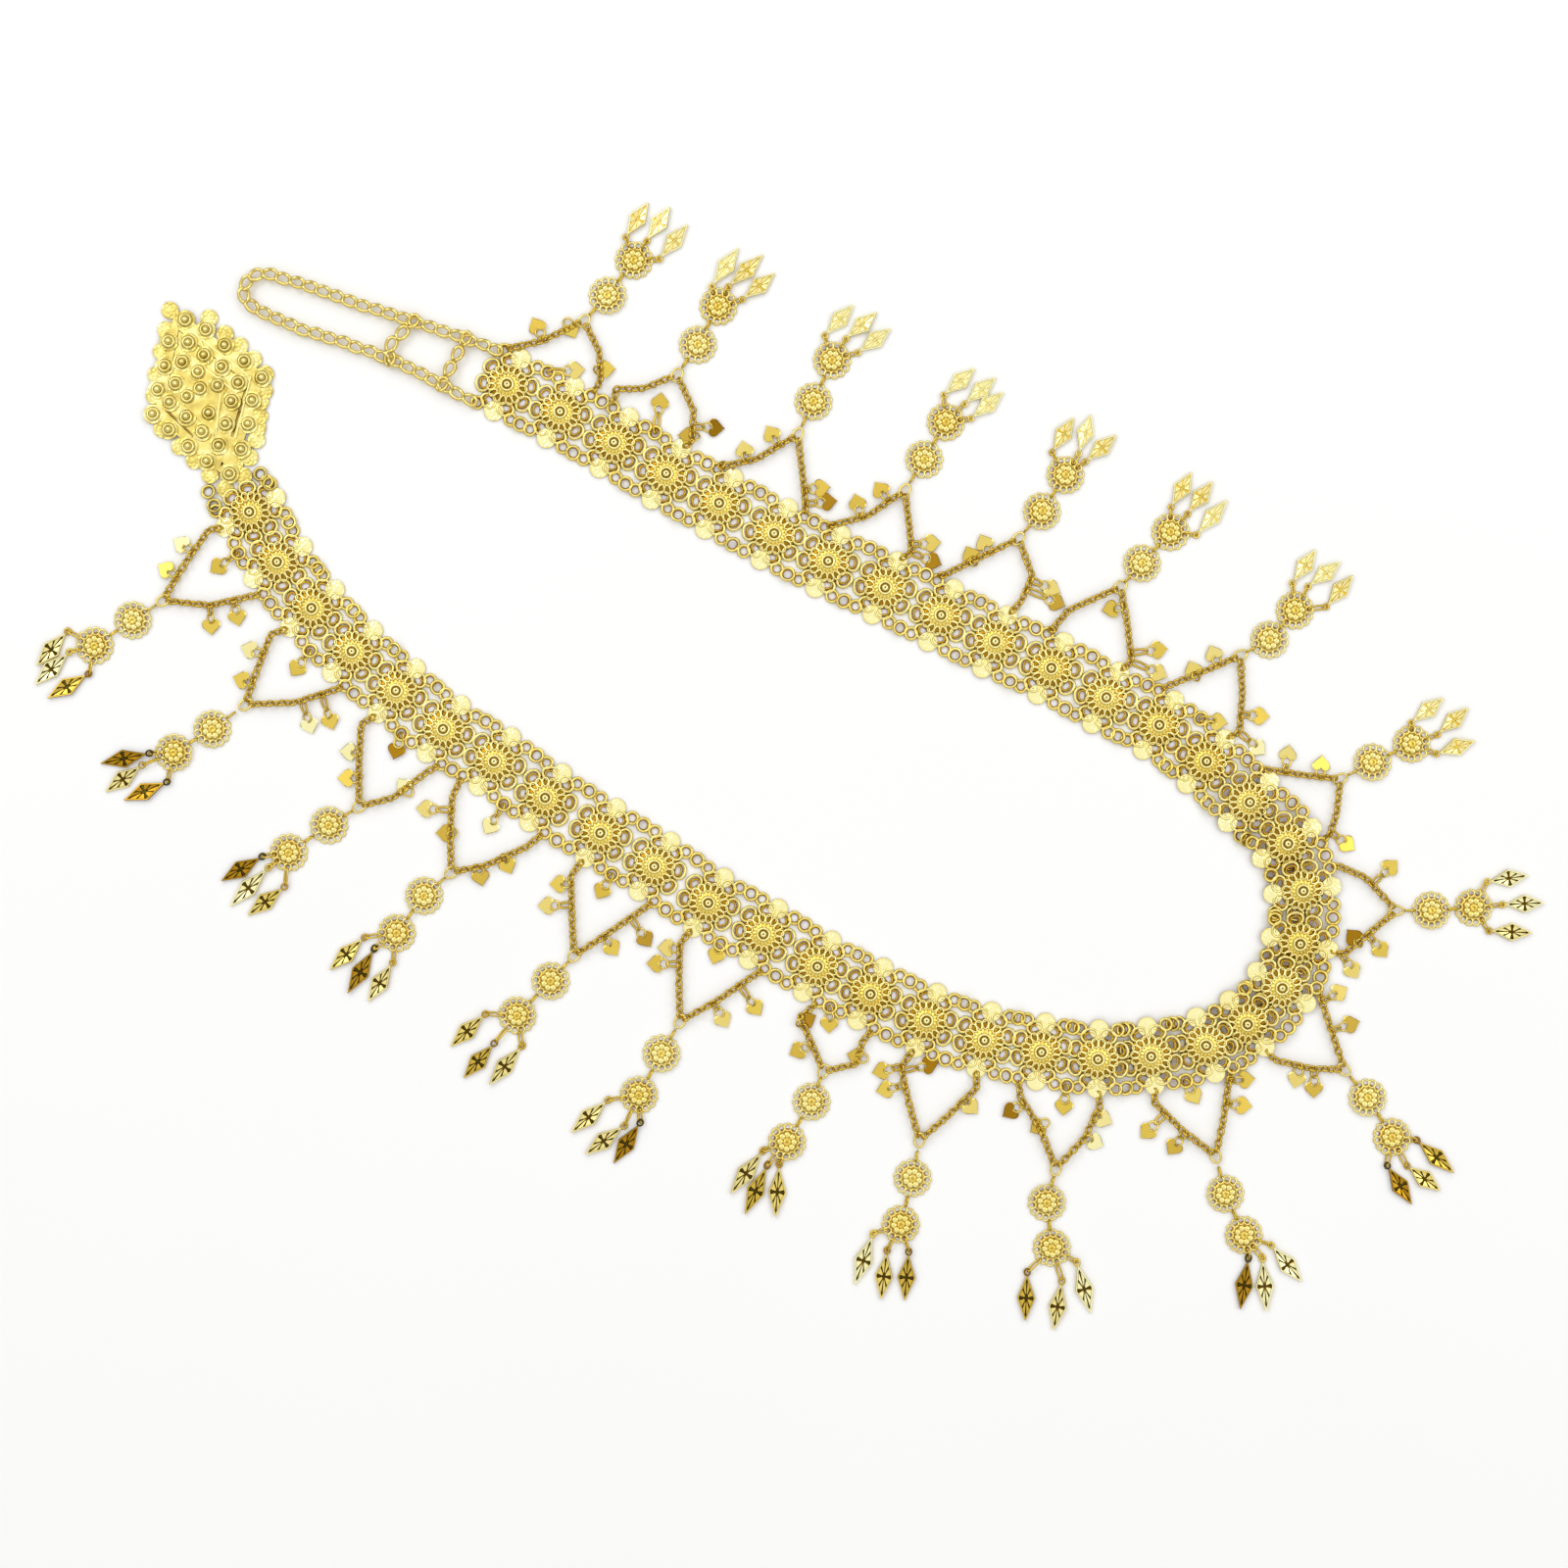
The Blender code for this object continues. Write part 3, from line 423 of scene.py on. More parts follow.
# Painted shading levels: painted shade on the back plate and at the feet of the petals and middle and in the
# middle's hollow top, painted highlight near the petal tops
rosette = {
    "rim": {"Loops": 14, "Turn": 0.1, "Middle": 5.3, "Length": 2.8, "Width": 2.45, "Taper": 0.1, "Wire": 0.43,
            "Height": 0.7, "Steps": 10, "Recess": 0.0},
    "back": ((4.7, 0.1), (5.0, 0.4), (4.6, 0.75), (2.0, 1.2)),
    "petals": 8, "petalRing": 2.6,
    "petal": ((1.5, 0.8), (1.4, 1.4), (1.1, 1.75), (0.6, 1.95), (0.12, 2.0)),
    "petalShading": (0.7, 0.3, 0.1, -0.05, -0.05),
    "middle": ((1.6, 1.1), (1.5, 1.7), (1.1, 2.0), (0.7, 1.95), (0.3, 1.8)),
    "middleShading": (0.7, 0.2, 0.05, 0.3, 0.7),
}


def makeRosette():
    look = rosette
    meshes = [looped("rim", **look["rim"]), turned("rosetteBack", look["back"], 18, recess=0.85)]
    for k in range(look["petals"]):
        angle = math.tau * k / look["petals"]
        spot = (look["petalRing"] * math.cos(angle), look["petalRing"] * math.sin(angle))
        meshes.append(turned("petal", look["petal"], 10, recess=look["petalShading"], place=spot))
    meshes.append(turned("middle", look["middle"], 12, recess=look["middleShading"]))
    finding("rosette", meshes)


heart = {"size": 7.2, "thick": 0.5, "edge": 0.3}


def makeHeart():
    # A flat polished charm, its point along +x and its notch near the ring
    rows = []
    steps = 22
    for inset, height in ((heart["edge"], 0.0), (0.0, 0.15), (0.0, 0.35), (heart["edge"], heart["thick"])):
        row = []
        for i in range(steps):
            angle = math.tau * i / steps
            x = -(13 * math.cos(angle) - 5 * math.cos(2 * angle) - 2 * math.cos(3 * angle)
                  - math.cos(4 * angle)) / 17 - 0.17
            y = 16 * math.sin(angle) ** 3 / 17
            shrink = 1 - inset / (heart["size"] / 2)
            row.append((x * shrink * heart["size"] / 2 * mm, y * shrink * heart["size"] / 2 * mm,
                        (height - heart["thick"] / 2) * mm))
        rows.append(row)
    verts = [spot for row in rows for spot in row]
    finding("heart", [meshOf("heartPlate", verts, walls(len(rows), steps), 0.0, False)])


# Wedges by turn and reach from the drop's middle, and their crests with a height too
# The last number of each crest and the crests' level are painted shading: negative values paint highlight
drop = {
    "length": 13.8, "width": 6.2, "wedges": 8, "rim": 0.84, "floor": 0.45, "top": 1.0,
    "base": ((-0.34, 0.1), (-0.33, 0.86), (0.33, 0.86), (0.34, 0.1)),
    "crest": ((-0.2, 0.26, 0.8), (-0.25, 0.8, 1.05), (0.25, 0.8, 1.05), (0.2, 0.26, 0.8)),
    "crestShading": -0.15, "ringGap": 0.7,
    "ring": {"radius": 0.95, "wire": 0.36, "height": 0.7, "steps": 10, "recess": 0.5},
}


def makeDrop(name, shadeLevel):
    # A lozenge with a raised rim, and struck wedges that stand round its middle in a sunk floor, the floor
    # and wedge feet painted darker as shade and the rim top and crests paler as painted highlight
    half, side = drop["length"] / 2, drop["width"] / 2
    verts, faces, recess = [], [], []

    def spot(angle, reach, height, mask):
        share = reach / (abs(math.cos(angle)) + abs(math.sin(angle)))
        verts.append((math.cos(angle) * share * half * mm, math.sin(angle) * share * side * mm, height * mm))
        recess.append(mask)
        return len(verts) - 1

    rows = ((1.0, 0.0, 0.3), (1.0, 0.85, 0.1), (0.96, drop["top"], -0.2), (drop["rim"], drop["top"], -0.2),
            (drop["rim"] - 0.02, drop["floor"], shadeLevel))
    grid = [[spot(k * math.pi / 2, *row) for k in range(4)] for row in rows]
    for low, high in zip(grid, grid[1:]):
        faces += [(low[k], low[(k + 1) % 4], high[(k + 1) % 4], high[k]) for k in range(4)]
    faces += [tuple(grid[0][::-1]), tuple(grid[-1])]
    for k in range(drop["wedges"]):
        middle = (k + 0.5) * math.tau / drop["wedges"]
        base = [spot(middle + turn, reach, drop["floor"] - 0.1, shadeLevel)
                for turn, reach in drop["base"]]
        crest = [spot(middle + turn, reach, height, drop["crestShading"])
                 for turn, reach, height in drop["crest"]]
        faces += [(base[i], base[(i + 1) % 4], crest[(i + 1) % 4], crest[i]) for i in range(4)]
        faces += [tuple(base[::-1]), tuple(crest)]
    meshes = [meshOf("lozenge", verts, faces, recess, False)]
    meshes.append(ring("dropRing", place=(-half - drop["ringGap"], 0), **drop["ring"]))
    finding(name, meshes)


curb = {"length": 5.3, "width": 3.6, "wire": 0.74, "twist": 0.65, "steps": 16, "recess": -0.05}


def makeCurb():
    # An oval link with a half twist, so that the chain lies flat
    mesh = looped("curbWire", Loops=1, Middle=0.0, Length=curb["length"], Width=curb["width"],
                  Wire=curb["wire"], Steps=curb["steps"], Recess=curb["recess"])
    for vert in mesh.vertices:
        angle = math.atan2(vert.co.y / curb["width"], vert.co.x / curb["length"])
        vert.co.z += curb["twist"] * math.sin(2 * angle) * mm
    finding("curbLink", [mesh])


# The jump ring's lower inner wire is painted darker as shade under the upper wire
smallRings = {
    "jumpRing": ({"radius": 2.4, "wire": 0.6, "recess": 0.05},
                 {"radius": 2.0, "wire": 0.5, "height": -0.4, "recess": 1.1}),
    "heartRing": ({"radius": 1.8, "wire": 0.4, "steps": 14, "recess": 0.1},),
    "ovalRing": ({"radius": 1.8, "wire": 0.46, "length": 5.2, "steps": 16, "recess": 0.05},),
    "smallLink": ({"radius": 0.95, "wire": 0.42, "length": 4.0, "steps": 12, "recess": 0.3},),
    "roloLink": ({"radius": 1.25, "wire": 0.52, "steps": 10, "recess": 0.42},),
}


def makeSmall():
    for name, wires in smallRings.items():
        finding(name, [ring("wire", **sizes) for sizes in wires])


# Painted shading: painted shade at the boss's foot and in the groove round its bead, painted highlight on its
# collar and bead; the scallop disc is painted darker at its edge
boss = {
    "profile": ((2.7, -0.5), (3.0, -0.1), (3.0, 0.2), (2.75, 0.5), (2.5, 0.75), (2.25, 1.1), (1.75, 1.05),
                (1.55, 0.7), (1.4, 0.7), (1.35, 1.5), (1.05, 2.1), (0.55, 2.45), (0.1, 2.52)),
    "recess": (0.9, 0.5, 0.1, -0.1, 0.1, -0.35, -0.1, 1.1, 1.2, 0.2, -0.2, -0.3, -0.3),
    "scallop": ((3.2, 0.0), (3.45, 0.25), (3.35, 0.7), (2.6, 0.72), (1.7, 0.74), (0.8, 0.76), (0.3, 0.8)),
    "scallopShading": (0.8, 0.6, 0.15, 0.0, 0.05, 0.0, 0.0), "dashes": 0.07,
}


def makeBoss():
    finding("boss", [turned("bossTurned", boss["profile"], 20, recess=boss["recess"])])
    finding("scallop", [turned("scallopDisc", boss["scallop"], 22, recess=boss["scallopShading"],
                               smooth=False, dashes=boss["dashes"])])


makeMedallion()
makeRosette()
makeHeart()
makeDrop("dropPale", 0.3)
makeDrop("dropStruck", 1.8)
makeCurb()
makeSmall()
makeBoss()
kinds = sorted(item.name for item in findings.objects)
forms = {item.name: [vert.co.copy() for vert in item.data.vertices] for item in findings.objects}
print("findings:", ", ".join(kinds))


# Laying the pieces out

def lowest(kind, tilt, size):
    # How far a tilted finding reaches below its own middle
    turnX, turnY = (math.radians(angle) for angle in tilt)
    down = Vector((-math.sin(turnY) * size[0], math.cos(turnY) * math.sin(turnX) * size[1],
                   math.cos(turnY) * math.cos(turnX) * size[2]))
    return min(spot.dot(down) for spot in forms[kind])


class Layout:
    def __init__(self):
        self.spots, self.rows, self.edges = [], [], []

    def put(self, kind, spot, height, heading=0.0, tilt=(0, 0), tone=0.0, size=1.0):
        # One finding, height in mm and tilt in degrees, never below the rest surface
        size = size if isinstance(size, tuple) else (size, size, size)
        turn = (math.radians(tilt[0]), math.radians(tilt[1]), heading)
        self.spots.append((spot[0], spot[1], max(height * mm, -lowest(kind, tilt, size))))
        self.rows.append((kinds.index(kind), turn, tone, size))

    def run(self, points, height, tone):
        # The line of a chain, its height in mm
        first = len(self.spots)
        for point in points:
            self.spots.append((point[0], point[1], height * mm))
            self.rows.append((-1, (0, 0, 0), tone, (1.0, 1.0, 1.0)))
        self.edges += [(first + i, first + i + 1) for i in range(len(points) - 1)]

    def piece(self, name, metal, nodes, link="roloLink", chain=chain, extra=None):
        # Grows all that is laid out as one object that replaces its nodes
        source = bpy.data.meshes.new(name + "Spots")
        source.from_pydata(self.spots, self.edges, [])
        columns = (("kind", "INT", "value", [row[0] for row in self.rows]),
                   ("turn", "FLOAT_VECTOR", "vector", [a for row in self.rows for a in row[1]]),
                   ("tone", "FLOAT", "value", [row[2] for row in self.rows]),
                   ("size", "FLOAT_VECTOR", "vector", [a for row in self.rows for a in row[3]]))
        for label, form, key, values in columns:
            source.attributes.new(label, form, "POINT").data.foreach_set(key, values)
        mesh = grown(name, layOut, source, Findings=findings, Link=kinds.index(link),
                     Pitch=chain["pitch"] * mm, Roll=math.radians(chain["roll"]),
                     Lean=math.radians(chain["lean"]), Metal=metals[metal])
        look = bpy.data.objects.new(name, mesh)
        bpy.context.scene.collection.objects.link(look)
        if extra:
            with bpy.context.temp_override(active_object=look, selected_editable_objects=[look] + extra):
                bpy.ops.object.join()
        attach(look, "root")
        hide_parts(*nodes)


# Medallion middles, from the ladder end to the buckle end
medallions = (
    (518, 393), (572, 421), (627, 452), (680, 484), (734, 514), (790, 545), (845, 573), (903, 600),
    (960, 628), (1015, 655), (1072, 682), (1128, 712), (1182, 740), (1230, 777), (1273, 818), (1312, 860),
    (1328, 908), (1325, 962), (1307, 1007), (1272, 1044), (1230, 1066), (1174, 1077), (1120, 1080),
    (1062, 1073), (1004, 1061), (945, 1041), (888, 1014), (834, 986), (779, 953), (723, 921), (668, 884),
    (613, 850), (557, 814), (505, 777), (453, 744), (405, 705), (360, 665), (319, 621), (284, 574),
    (256, 523),
)
sites = [at((464, 365))] + [at(spot) for spot in medallions] + [at((230, 480))]
# Hearts on the band: the piece that each belongs to and its place
bandHearts = (
    (1, (590, 378)), (2, (674, 408)), (7, (1245, 737)), (11, (1219, 1120)), (12, (1085, 1131)),
    (14, (846, 1047)), (15, (730, 977)), (16, (613, 911)), (17, (499, 845)), (18, (404, 768)),
    (19, (302, 684)), (20, (221, 580)),
)
# Medallions that lie over one another in the turn, and jump rings that are tipped up where they are close
shingled = {"first": 15, "last": 23, "tilt": 5.5, "lift": 1.1, "close": 6, "tip": 30, "ringHeight": 0.9}


def sides(number):
    along = (sites[number + 1] - sites[number - 1]).normalized()
    return along, Vector((-along.y, along.x, 0))


def onBand(number, alongBy, outBy):
    along, out = sides(number)
    return sites[number] + (along * alongBy + out * outBy) * mm


def angleOf(line):
    return math.atan2(line.y, line.x)


# Hearts whose tone is set, where the others' are drawn; the tones are painted reflection, lighter or darker
# by how each heart catches the light
heartReflectionTones = {
    (1029, 1135): 1.1, (1057, 1151): 0.6, (1119, 1166): -0.3, (499, 845): -0.25, (354, 767): -0.3,
    (404, 768): 1.2, (411, 800): -0.5, (317, 742): -0.5, (253, 662): -0.2, (184, 554): -0.3,
    (1285, 765): -0.3, (1379, 954): 1.1, (950, 1086): 1.0, (826, 1039): 0.9, (699, 445): 0.6, (847, 512): 0.9,
    (732, 437): 1.2, (1128, 1143): -0.1, (352, 794): 0.3, (954, 574): 0.9, (660, 960): 0.8, (1080, 616): 0.7,
}


# Distances in mm of a heart's ring and link, and how a small link is stretched over a gap
hanging = {"least": 3.4, "ring": 3.6, "link": 5.2, "slack": 0.4, "over": 1.6, "linkLength": 4.8,
           "height": 1.0}


def hang(layout, spot, hook):
    # A heart, the ring in it and, where the chain is further off, a link to it
    centre = at(spot)
    away = centre - hook
    if away.length < hanging["least"] * mm:
        away = away.normalized() * hanging["least"] * mm
    forward = away.normalized() * mm
    # The heart's tone, set or drawn, is painted reflection of how brightly it catches the light
    tone = heartReflectionTones.get(spot, dice.uniform(0.05, 0.55))
    layout.put("heart", centre, hanging["height"], angleOf(away),
               (dice.uniform(-8, 8), dice.uniform(-8, 8)), tone)
    layout.put("heartRing", centre - forward * hanging["ring"], hanging["height"], angleOf(away),
               (dice.uniform(10, 45), dice.uniform(-8, 8)), 0.1)
    spare = away.length / mm - hanging["link"]
    if spare > hanging["slack"]:
        stretch = (spare + hanging["over"]) / hanging["linkLength"]
        layout.put("smallLink", centre - forward * (hanging["link"] + spare / 2), hanging["height"],
                   angleOf(away), (30, 0), 0.2, (stretch, 1.2, 1.0))


def makeBand():
    for pair in range(1, len(medallions) // 2 + 1):
        layout = Layout()
        for number in (2 * pair - 1, 2 * pair):
            along, _ = sides(number)
            over = shingled["first"] <= number <= shingled["last"]
            lift, tilt = (shingled["lift"], shingled["tilt"]) if over else (0.0, 0.0)
            layout.put("medallion", sites[number], lift, angleOf(along), (dice.uniform(-1, 1), tilt),
                       dice.uniform(-0.04, 0.06))
            if number < len(medallions):
                for outBy in (-medallion["discOffset"], medallion["discOffset"]):
                    start = onBand(number, medallion["eyeletAlong"], outBy)
                    end = onBand(number + 1, -medallion["eyeletAlong"], outBy)
                    near = (end - start).length < shingled["close"] * mm
                    tip = shingled["tip"] if near else dice.uniform(-18, 18)
                    layout.put("jumpRing", (start + end) / 2, shingled["ringHeight"] + lift,
                               angleOf(end - start), (dice.uniform(-14, 14), tip), 0.05)
        hook = (onBand(2 * pair - 1, medallion["eyeletAlong"], medallion["discOffset"])
                + onBand(2 * pair, -medallion["eyeletAlong"], medallion["discOffset"])) / 2
        for owner, spot in bandHearts:
            if owner == pair:
                hang(layout, spot, hook)
        layout.piece("band_%02d_look" % pair, "bandGold", ["band_%02d" % pair])


# Swags: the first strand's start and bend, the apex, the second strand's bend and end
swags = (
    ((524, 355), (553, 349), (596, 328), (612, 360), (613, 390)),
    ((629, 398), (657, 397), (691, 383), (708, 420), (706, 451)),
    ((734, 477), (772, 469), (814, 444), (819, 485), (822, 517)),
    ((846, 537), (885, 527), (923, 501), (928, 540), (930, 564)),
    ((959, 589), (1000, 569), (1039, 550), (1053, 588), (1041, 615)),
    ((1071, 645), (1090, 623), (1143, 599), (1150, 638), (1154, 675)),
    ((1196, 698), (1233, 683), (1265, 669), (1267, 708), (1264, 747)),
    ((1290, 785), (1330, 791), (1367, 795), (1363, 830), (1357, 849)),
    ((1364, 883), (1392, 895), (1424, 929), (1395, 953), (1369, 974)),
    ((1348, 1022), (1360, 1058), (1371, 1091), (1338, 1090), (1299, 1081)),
    ((1253, 1103), (1248, 1140), (1240, 1179), (1206, 1153), (1177, 1124)),
    ((1122, 1128), (1106, 1161), (1077, 1192), (1061, 1151), (1041, 1119)),
    ((996, 1110), (965, 1140), (938, 1163), (928, 1128), (919, 1088)),
    ((880, 1062), (874, 1085), (840, 1093), (829, 1066), (816, 1038)),
    ((768, 996), (733, 1020), (694, 1042), (693, 1000), (694, 963)),
    ((653, 930), (612, 958), (586, 975), (584, 935), (583, 893)),
    ((538, 864), (496, 883), (461, 890), (460, 850), (462, 813)),
    ((436, 788), (402, 814), (367, 823), (367, 780), (369, 740)),
    ((340, 705), (302, 717), (251, 719), (261, 690), (277, 648)),
    ((256, 609), (215, 618), (167, 613), (190, 575), (214, 541)),
)

# Pendants: two rosettes, then the middle and the tip of each of three drops
pendants = (
    ((620, 302), (647, 266), (651, 224), (662, 207), (673, 228), (684, 212), (688, 246), (702, 229)),
    ((712, 352), (733, 313), (741, 272), (754, 253), (762, 276), (779, 260), (775, 292), (791, 279)),
    ((830, 410), (849, 368), (857, 326), (871, 311), (880, 332), (895, 319), (893, 347), (908, 336)),
    ((943, 469), (965, 431), (980, 389), (995, 376), (1001, 398), (1015, 386), (1008, 413), (1024, 400)),
    ((1063, 522), (1087, 485), (1085, 443), (1095, 427), (1107, 442), (1113, 423), (1124, 457), (1138, 445)),
    ((1165, 575), (1194, 543), (1206, 499), (1216, 482), (1225, 507), (1235, 494), (1237, 527), (1252, 510)),
    ((1295, 653), (1321, 623), (1331, 577), (1342, 561), (1352, 585), (1365, 575), (1367, 602), (1378, 589)),
    ((1400, 778), (1440, 759), (1457, 724), (1471, 713), (1483, 735), (1498, 722), (1486, 762), (1504, 756)),
    ((1460, 929), (1503, 926), (1539, 896), (1558, 893), (1555, 922), (1575, 921), (1542, 951), (1563, 952)),
    ((1395, 1120), (1420, 1160),
     (1465, 1181), (1483, 1197), (1453, 1203), (1469, 1215), (1428, 1210), (1440, 1229)),
    ((1250, 1218), (1269, 1260),
     (1269, 1311), (1265, 1336), (1290, 1312), (1292, 1338), (1313, 1290), (1328, 1308)),
    ((1068, 1227), (1073, 1273),
     (1047, 1324), (1046, 1348), (1079, 1333), (1075, 1357), (1106, 1315), (1113, 1340)),
    ((931, 1202), (919, 1249), (881, 1286), (872, 1311), (902, 1302), (899, 1326), (925, 1303), (923, 1327)),
    ((828, 1124), (803, 1165), (761, 1197), (745, 1218), (771, 1215), (760, 1239), (793, 1216), (791, 1242)),
    ((675, 1075), (652, 1117), (601, 1140), (583, 1156), (616, 1164), (597, 1178), (639, 1167), (626, 1187)),
    ((562, 1001), (528, 1036), (477, 1052), (460, 1068), (488, 1083), (473, 1100), (515, 1088), (499, 1107)),
    ((433, 914), (405, 952), (354, 974), (337, 990), (368, 992), (355, 1014), (388, 1003), (376, 1022)),
    ((336, 842), (295, 870), (246, 887), (226, 899), (254, 906), (235, 925), (271, 920), (253, 934)),
    ((217, 744), (178, 768), (127, 774), (103, 779), (126, 795), (108, 808), (148, 808), (127, 817)),
    ((136, 633), (97, 659), (53, 663), (38, 680), (53, 683), (36, 699), (69, 701), (49, 713)),
)

# Hearts that hang from the strands of each swag
strandHearts = (
    ((547, 331), (584, 339), (621, 377)),
    ((732, 437), (699, 445)),
    ((759, 457), (786, 441), (840, 498), (847, 512)),
    ((874, 511), (897, 498), (953, 554), (954, 574)),
    ((1003, 552), (989, 564), (1075, 602), (1080, 616)),
    ((1131, 622), (1184, 663), (1184, 688)),
    ((1216, 681), (1237, 665), (1288, 731), (1285, 765)),
    ((1314, 767), (1348, 778), (1376, 863)),
    ((1420, 883), (1410, 971), (1381, 992), (1379, 954)),
    ((1380, 1044), (1322, 1103), (1340, 1113), (1368, 1011)),
    ((1273, 1101), (1270, 1128), (1169, 1156), (1196, 1172)),
    ((1029, 1135), (1057, 1151), (1128, 1143), (1119, 1166)),
    ((897, 1093), (901, 1112), (992, 1131), (950, 1086)),
    ((812, 1073), (871, 1077), (826, 1039)),
    ((667, 983), (739, 1042), (772, 1030), (678, 967)),
    ((568, 902), (556, 924), (626, 969), (660, 960)),
    ((432, 825), (452, 850), (491, 897), (519, 885)),
    ((354, 767), (352, 794), (411, 800)),
    ((253, 662), (245, 693), (338, 738), (317, 742)),
    ((184, 554), (168, 580), (216, 641), (243, 632)),
)
# Sizes in mm; "firstLink" is a share of the gap from the apex to the upper rosette's rim; the drops' tones
# are painted reflection, paler on the pale drops and darker on the struck ones
tassel = {"strandHeight": 1.85, "strandTone": 0.12, "holdOut": 2.4, "apexGap": 2.6, "firstLink": 0.75,
          "rosetteReach": 6.3, "rimOverlap": 0.8, "dropHeight": 0.5, "dropRingReach": 1.0, "paleDrops": 8,
          "dropReflectionTones": {"dropPale": (-0.35, -0.2, -0.05), "dropStruck": (-0.2, 0.1, 0.3, 0.7, 1.1)}}


def nearest(point, line):
    best = line[0]
    for start, end in zip(line, line[1:]):
        span = end - start
        share = min(max((point - start).dot(span) / span.length_squared, 0.0), 1.0)
        spot = start + span * share
        if (spot - point).length < (best - point).length:
            best = spot
    return best


def strands(index):
    swag = swags[index]
    lines = []
    for steps, number in ((swag[:3], 2 * index + 1), (swag[:1:-1], 2 * index + 2)):
        start = at(steps[0])
        holds = [onBand(number, alongBy, medallion["discOffset"])
                 for alongBy in (-medallion["eyeletAlong"], 0, medallion["eyeletAlong"])]
        hold = min(holds, key=lambda spot: (spot - start).length)
        hold = hold + (start - hold).normalized() * tassel["holdOut"] * mm
        lines.append([hold] + [at(step) for step in steps])
    return lines


def makeTassel(index):
    layout = Layout()
    lines = strands(index)
    apex = lines[0][-1]
    for line in lines:
        short = line[:-1] + [apex + (line[-2] - apex).normalized() * tassel["apexGap"] * mm]
        layout.run(short, tassel["strandHeight"], tassel["strandTone"])
    upper, lower = at(pendants[index][0]), at(pendants[index][1])
    layout.put("ovalRing", apex, 1.3, angleOf(upper - apex), (dice.uniform(-15, 15), 0), 0.05)
    reach = (upper - apex).length - tassel["rosetteReach"] * mm
    first = apex + (upper - apex).normalized() * reach * tassel["firstLink"]
    layout.put("smallLink", first, 1.2, angleOf(upper - apex), (80, 0), 0.1)
    layout.put("rosette", upper, 0.0, dice.uniform(0, 6),
               (dice.uniform(-3, 3), dice.uniform(-3, 3)), 0.0)
    layout.put("smallLink", upper.lerp(lower, 0.5), 1.0, angleOf(lower - upper), (70, 0), 0.1)
    layout.put("rosette", lower, 0.0, dice.uniform(0, 6),
               (dice.uniform(-3, 3), dice.uniform(-3, 3)), 0.05)
    kind = "dropPale" if index < tassel["paleDrops"] else "dropStruck"
    for k in range(3):
        middle, tip = at(pendants[index][2 + 2 * k]), at(pendants[index][3 + 2 * k])
        forward = (tip - middle).normalized()
        stretch = max(2 * (tip - middle).length / (drop["length"] * mm), 1.05)
        layout.put(kind, middle, tassel["dropHeight"], angleOf(forward),
                   (dice.uniform(-7, 7), dice.uniform(-3, 3)),
                   dice.choice(tassel["dropReflectionTones"][kind]), (stretch, 1.08, 1.0))
        root = middle - forward * (drop["length"] / 2 * stretch + tassel["dropRingReach"]) * mm
        rim = lower + (root - lower).normalized() * (tassel["rosetteReach"] - tassel["rimOverlap"]) * mm
        span = ((root - rim).length + hanging["over"] * mm) / (hanging["linkLength"] * mm)
        layout.put("smallLink", (root + rim) / 2, 0.9, angleOf(root - rim), (dice.uniform(20, 70), 0), 0.12,
                   (min(max(span, 0.6), 1.6), 0.9, 0.9))
    for spot in strandHearts[index]:
        centre = at(spot)
        hook = min((nearest(centre, line[1:]) for line in lines), key=lambda p: (p - centre).length)
        hang(layout, spot, hook)
    name = "tassel_%02d" % (index + 1)
    layout.piece(name + "_look", "tasselGold", [name])


# Buckle: corners of its plates, ends of its ridges, ends of the covers that close its slits at their far
# ends, and the rings of its two tabs; levels are (low, high, painted shading), heights in mm, with a width
# before a strip's; the lowest plate is painted darker as shade and the ridges paler as painted highlight
buckle = {
    "corners": ((179, 316), (271, 382), (236, 492), (158, 424)),
    "inner": ((183, 338), (252, 391), (228, 474), (168, 415)),
    "centre": ((196, 362), (231, 394), (219, 446), (184, 408)),
    "plates": ((0.2, 0.7, 1.3), (0.5, 1.15, 0.25), (1.15, 1.7, 0.15)),
    "frame": (0.6, 1.3, 0.1), "frameGaps": (0.05, 0.2, 0.2, 0.05),
    "ridge": (0.5, 1.0, 2.1, -0.6),
    "ridges": (((257, 384), (241, 448)), ((195, 338), (255, 384)), ((205, 346), (214, 372)),
               ((226, 402), (221, 444)), ((212, 378), (243, 402))),
    "cover": (2.4, 0.9, 1.4, 0.2),
    "covers": (((238, 446), (228, 480)), ((197, 447), (227, 476))),
    "tabs": (((266, 484), (276, 494)), ((213, 502), (219, 516))),
}
# Loose discs on the plate's edge, and domes with a disc under each
scallops = (
    (174, 317), (214, 325), (230, 341), (245, 353), (259, 367), (271, 382), (270, 399), (265, 425),
    (262, 449), (255, 467), (249, 486), (230, 499), (215, 485), (199, 470), (184, 456), (166, 438),
    (156, 424), (158, 404), (160, 383), (165, 359), (170, 337), (240, 474), (266, 410), (263, 437),
)
bosses = (
    ((190, 327), (211, 337), (230, 353), (250, 369), (268, 386)),
    ((173, 349), (193, 350), (209, 363), (227, 375), (244, 391)),
    ((169, 374), (187, 370), (203, 380), (223, 394)),
    ((162, 398), (180, 392), (205, 397)),
    ((157, 423), (174, 411), (192, 405), (214, 422), (237, 410), (258, 409)),
    ((173, 439), (191, 426), (207, 441), (231, 433), (254, 433)),
    ((193, 456), (224, 455), (247, 459)),
    ((212, 471), (235, 484)),
)


